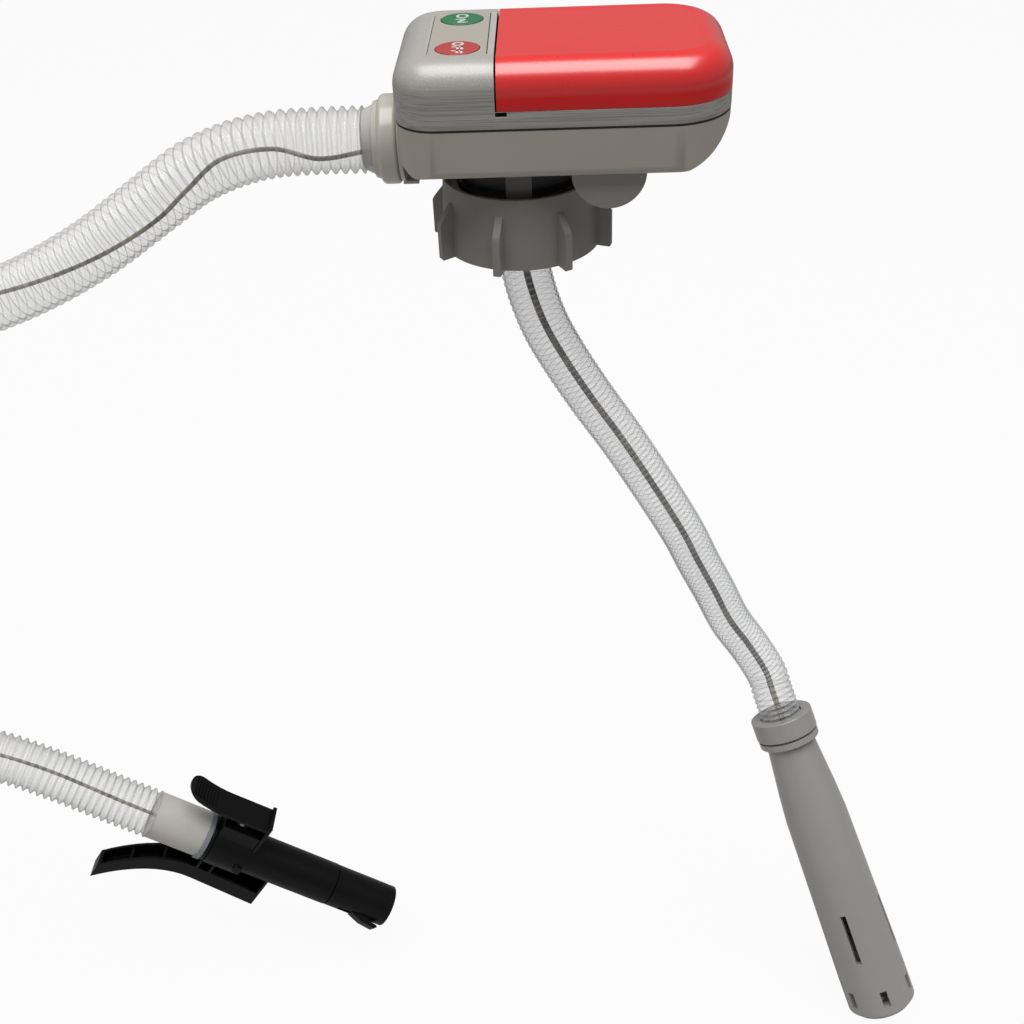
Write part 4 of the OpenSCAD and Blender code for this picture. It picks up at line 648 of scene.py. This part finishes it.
# Flow elbow and outlet nut: ivory mouldings. The nut is a plain bevelled ring
# that clamps the clear flared ferrule of the hose to the outlet pipe.
ivory = Finish("ivory_abs", (0.62, 0.585, 0.51), 0.24, Specular_IOR_Level=0.8)
ivory.vary(
    Base_Color=ivory.mix(ivory.noise(25), (0.65, 0.615, 0.54), (0.57, 0.53, 0.46)),
    Roughness=0.18 + 0.10 * ivory.noise(80),
)
ivory.bump(ivory.noise(900), 0.00003, 0.4)
softened("flow_elbow", ivory, 0.0003)


def rounded(corners, reach, steps=5):
    """A closed outline with each corner turned into a curve (1-t)^2 a + 2t(1-t) b + t^2 c
    that starts and ends at most reach from the corner."""
    b = np.array(corners, float)
    back, on = np.roll(b, 1, 0) - b, np.roll(b, -1, 0) - b
    far_back, far_on = (np.linalg.norm(k, axis=1, keepdims=True) for k in (back, on))
    a = b + back * np.minimum(reach / far_back, 0.45)
    c = b + on * np.minimum(reach / far_on, 0.45)
    t = np.linspace(0, 1, steps)[None, :, None]
    return ((1 - t) ** 2 * a[:, None] + 2 * t * (1 - t) * b[:, None] + t**2 * c[:, None]).reshape(-1, 2)


def turned(name, outline_mm, reach, start, axis, finish, body, node, sides=120):
    """A closed outline of (along, radius) pairs in mm, turned round an axis. Replaces node."""
    shape = rounded(np.array(outline_mm) * 0.001, reach * 0.001)
    axis = np.array(axis, float) / np.linalg.norm(axis)
    side = np.cross(axis, [0, 1, 0])
    side /= np.linalg.norm(side)
    third = np.cross(axis, side)
    a = np.arange(sides) * 2 * pi / sides
    round_it = np.cos(a)[:, None] * side + np.sin(a)[:, None] * third
    points = np.array(start) + shape[:, None, :1] * axis + shape[:, None, 1:] * round_it[None]
    faces = grid_faces(len(shape), sides, True)
    wrap = (len(shape) - 1) * sides
    k = np.arange(sides)
    n = (k + 1) % sides
    faces = np.vstack([faces, np.stack([wrap + k, wrap + n, n, k], -1)])
    piece = new_piece(name, points, faces, finish, body)
    made = bmesh.new()
    made.from_mesh(piece.data)
    bmesh.ops.recalc_face_normals(made, faces=made.faces)
    made.to_mesh(piece.data)
    made.free()
    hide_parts(node)


outlet_axis, outlet_z = (1, 0, 0), 0.0257
nut_shape = [
    (-2.4, 14.6), (-2.4, 15.4), (0, 16.2), (0.3, 17.3), (1.6, 18.3), (7.2, 18.3), (8, 17.5),
    (8, 16.8), (1.6, 16.8), (1.6, 14.6),
]
nut_from = (-0.05775, 0, outlet_z)
turned("outlet_ring_nut", nut_shape, 0.6, nut_from, outlet_axis, ivory, "nut", "outlet_nut")
ferrule_clear = Finish("clear_ferrule", (0.66, 0.64, 0.61), 0.18, IOR=1.35)
ferrule_clear.vary(Alpha=0.62 + 0.36 * ferrule_clear.edge_on(0.4))
cone_shape = [(0, 10.8), (0, 12.1), (4.2, 14.2), (8.8, 14.2), (8.8, 16.4), (10, 16.4), (10, 10.8)]
cone_from = (-0.06475, 0, outlet_z)
turned("flared_ferrule", cone_shape, 0.3, cone_from, outlet_axis, ferrule_clear, "pump", "hose_ferrule")

# Cap and neck: a black collar hooked into the case, and the grey screw cap with
# eight grip fins that turns round it.
softened("neck_collar", black_abs, 0.0003)
cap_grey = Finish("cap_grey", (0.29, 0.276, 0.252), 0.42)
cap_grey.vary(
    Base_Color=cap_grey.mix(cap_grey.noise(30, 3.0), (0.320, 0.303, 0.280), (0.270, 0.256, 0.235)),
    Roughness=0.36 + 0.14 * cap_grey.noise(120),
)
cap_grey.bump(cap_grey.noise(1000, 2.0, 0.6), 0.00007, 0.5)
softened("screw_cap", cap_grey, 0.0006)
tab_grey = mottled("tab_grey", 0.5, 60, (0.345, 0.33, 0.305), (0.30, 0.288, 0.265), (900,), 0.00006)
softened("rest_tab", tab_grey, 0.0004)

# Nozzle: a frosted cuff over the hose, a black tube with its slotted tip, and
# the clip-on grip with its thumb lever.
frosted = Finish("frosted_cuff", (0.60, 0.575, 0.54), 0.35, IOR=1.35)
frost_noise = frosted.noise(35)
frosted.vary(
    Alpha=0.80 + 0.18 * frosted.edge_on(0.4),
    Base_Color=frosted.mix(frost_noise.above(0.5, 0.2), (0.80, 0.77, 0.72), (0.72, 0.685, 0.635)),
)
ring_clear = Finish("clear_ring", (0.42, 0.46, 0.50), 0.15, IOR=1.35)
ring_clear.vary(Alpha=0.45 + 0.4 * ring_clear.edge_on(0.4))
nozzle_black = Finish("nozzle_black", (0.004, 0.004, 0.0045), 0.24, Specular_IOR_Level=0.22)
nozzle_black.vary(Roughness=0.25 + 0.16 * nozzle_black.noise(60))
nozzle_black.bump(nozzle_black.noise(1200), 0.00003, 0.4)
nozzle_at = nozzle_from / 1000
cuff_shape = [(-34, 11.5), (-34, 13.3), (-0.4, 13.3), (-0.4, 11.5)]
turned("frosted_cuff", cuff_shape, 0.4, nozzle_at, nozzle_axis, frosted, "pump", "nozzle_cuff")
ring_shape = [(-3.5, 13.4), (-3.5, 14.4), (-0.4, 14.4), (-0.4, 13.4)]
turned("cuff_rim_ring", ring_shape, 0.4, nozzle_at, nozzle_axis, ring_clear, "pump", "cuff_ring")
softened("nozzle_tube", nozzle_black, 0.0003)
softened("nozzle_tip", nozzle_black, 0.0003)
softened("nozzle_grip", nozzle_black, 0.0004)
softened("clip_lever", nozzle_black, 0.0004)
paint(black_abs, "level_sensor")

# Clip spring: three turns of 0.8 mm steel wire round the lever's pin. The coil
# lies across the nozzle, between the cheeks of the grip.
turn = np.linspace(0, 3, 109)
pin_x, pin_z, coil_y, coil_r, coil_pitch = 0.011, 0.0254, 0.00625, 0.0022, 0.0011
coil = (
    nozzle_at + (pin_x + coil_r * np.cos(2 * pi * turn))[:, None] * nozzle_axis
    + (pin_z + coil_r * np.sin(2 * pi * turn))[:, None] * nozzle_up
    + (coil_y + coil_pitch * turn)[:, None] * np.array([0, 1, 0])
)
clip_spring = carried("clip_spring_wire", coil, np.full(len(turn), 0.0004), 12, steel, "pump")
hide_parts("clip_spring")

# Foot: the grey suction foot with its hose nut, motor, impeller and strainer.
foot_grey = Finish("foot_grey", (0.45, 0.44, 0.42), 0.24, Coat_Weight=0.8, Coat_Roughness=0.2)
foot_grey.vary(
    Base_Color=foot_grey.mix(foot_grey.noise(15), (0.47, 0.455, 0.43), (0.41, 0.402, 0.385)),
    Roughness=0.20 + 0.10 * foot_grey.noise(60),
)
foot_grey.bump(foot_grey.noise(600), 0.00002, 0.3)
softened("foot_nut", foot_grey, 0.0004)
softened("foot_housing", foot_grey, 0.0004)
softened("foot_strainer", foot_grey, 0.0004)
paint(ivory, "motor_housing", "impeller", "pump_plate")

# Floor, backdrop and light: a pale floor under the foot, a large soft light
# overhead and a white room.
floor_gap = 0.001
floor_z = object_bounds()[0][2] - floor_gap
floor_white = bpy.data.materials.new("floor_white")
floor_white.use_nodes = True
tree = floor_white.node_tree
base = tree.nodes["Principled BSDF"]
base.inputs["Base Color"].default_value = (0.52, 0.52, 0.515, 1)
base.inputs["Roughness"].default_value = 0.9
glow = tree.nodes.new("ShaderNodeEmission")
glow.inputs["Color"].default_value = (1, 1, 1, 1)
glow.inputs["Strength"].default_value = 1.0
rays = tree.nodes.new("ShaderNodeLightPath")
blend = tree.nodes.new("ShaderNodeMixShader")
share = tree.nodes.new("ShaderNodeMath")
share.operation = "MULTIPLY"
share.inputs[1].default_value = 0.95
tree.links.new(rays.outputs["Is Camera Ray"], share.inputs[0])
tree.links.new(share.outputs[0], blend.inputs[0])
tree.links.new(base.outputs[0], blend.inputs[1])
tree.links.new(glow.outputs[0], blend.inputs[2])
tree.links.new(blend.outputs[0], tree.nodes["Material Output"].inputs[0])
bpy.ops.mesh.primitive_plane_add(size=8, location=(0, 0, floor_z))
floor = bpy.context.object
floor.name = "floor"
floor.data.materials.append(floor_white)

world = bpy.data.worlds.new("room")
bpy.context.scene.world = world
world.use_nodes = True
tree = world.node_tree
room = tree.nodes["Background"]
room.inputs["Color"].default_value = (1, 1, 1, 1)
rays = tree.nodes.new("ShaderNodeLightPath")


def sum_of(operation, first, second):
    """A Math node of the room's tree: its sockets' sum or product."""
    made = tree.nodes.new("ShaderNodeMath")
    made.operation = operation
    for socket, value in zip(made.inputs, (first, second)):
        if isinstance(value, float):
            socket.default_value = value
        else:
            tree.links.new(value, socket)
    return made.outputs[0]


# The room is white to the camera and through clear pieces, and dim to the rest.
clear_rays = sum_of("MAXIMUM", rays.outputs["Is Camera Ray"], rays.outputs["Is Transmission Ray"])
gloss_rays = sum_of("MULTIPLY", rays.outputs["Is Glossy Ray"], 0.16)
glow_level = sum_of("ADD", sum_of("MULTIPLY", clear_rays, 0.9), gloss_rays)
tree.links.new(sum_of("ADD", glow_level, 0.10), room.inputs["Strength"])


def lamp(name, place, target, size, power):
    """A rectangular soft light at place that faces target."""
    light = bpy.data.lights.new(name, "AREA")
    light.shape, light.size, light.size_y, light.energy = "RECTANGLE", size[0], size[1], power
    made = bpy.data.objects.new(name, light)
    bpy.context.scene.collection.objects.link(made)
    z = np.array(place, float) - np.array(target, float)
    z /= np.linalg.norm(z)
    x = np.cross([0, 1, 0.01], z)
    x /= np.linalg.norm(x)
    y = np.cross(z, x)
    made.matrix_world = Matrix([[x[k], y[k], z[k], place[k]] for k in range(3)] + [[0, 0, 0, 1]])


lamp("overhead", (0.0, -0.32, 2.0), (0.0, -0.04, 0.06), (2.5, 1.7), 54)
lamp("left_fill", (-1.1, -0.5, 0.5), (0.0, 0.0, -0.1), (0.7, 0.9), 0.4)

bpy.context.scene.view_settings.view_transform = "Standard"
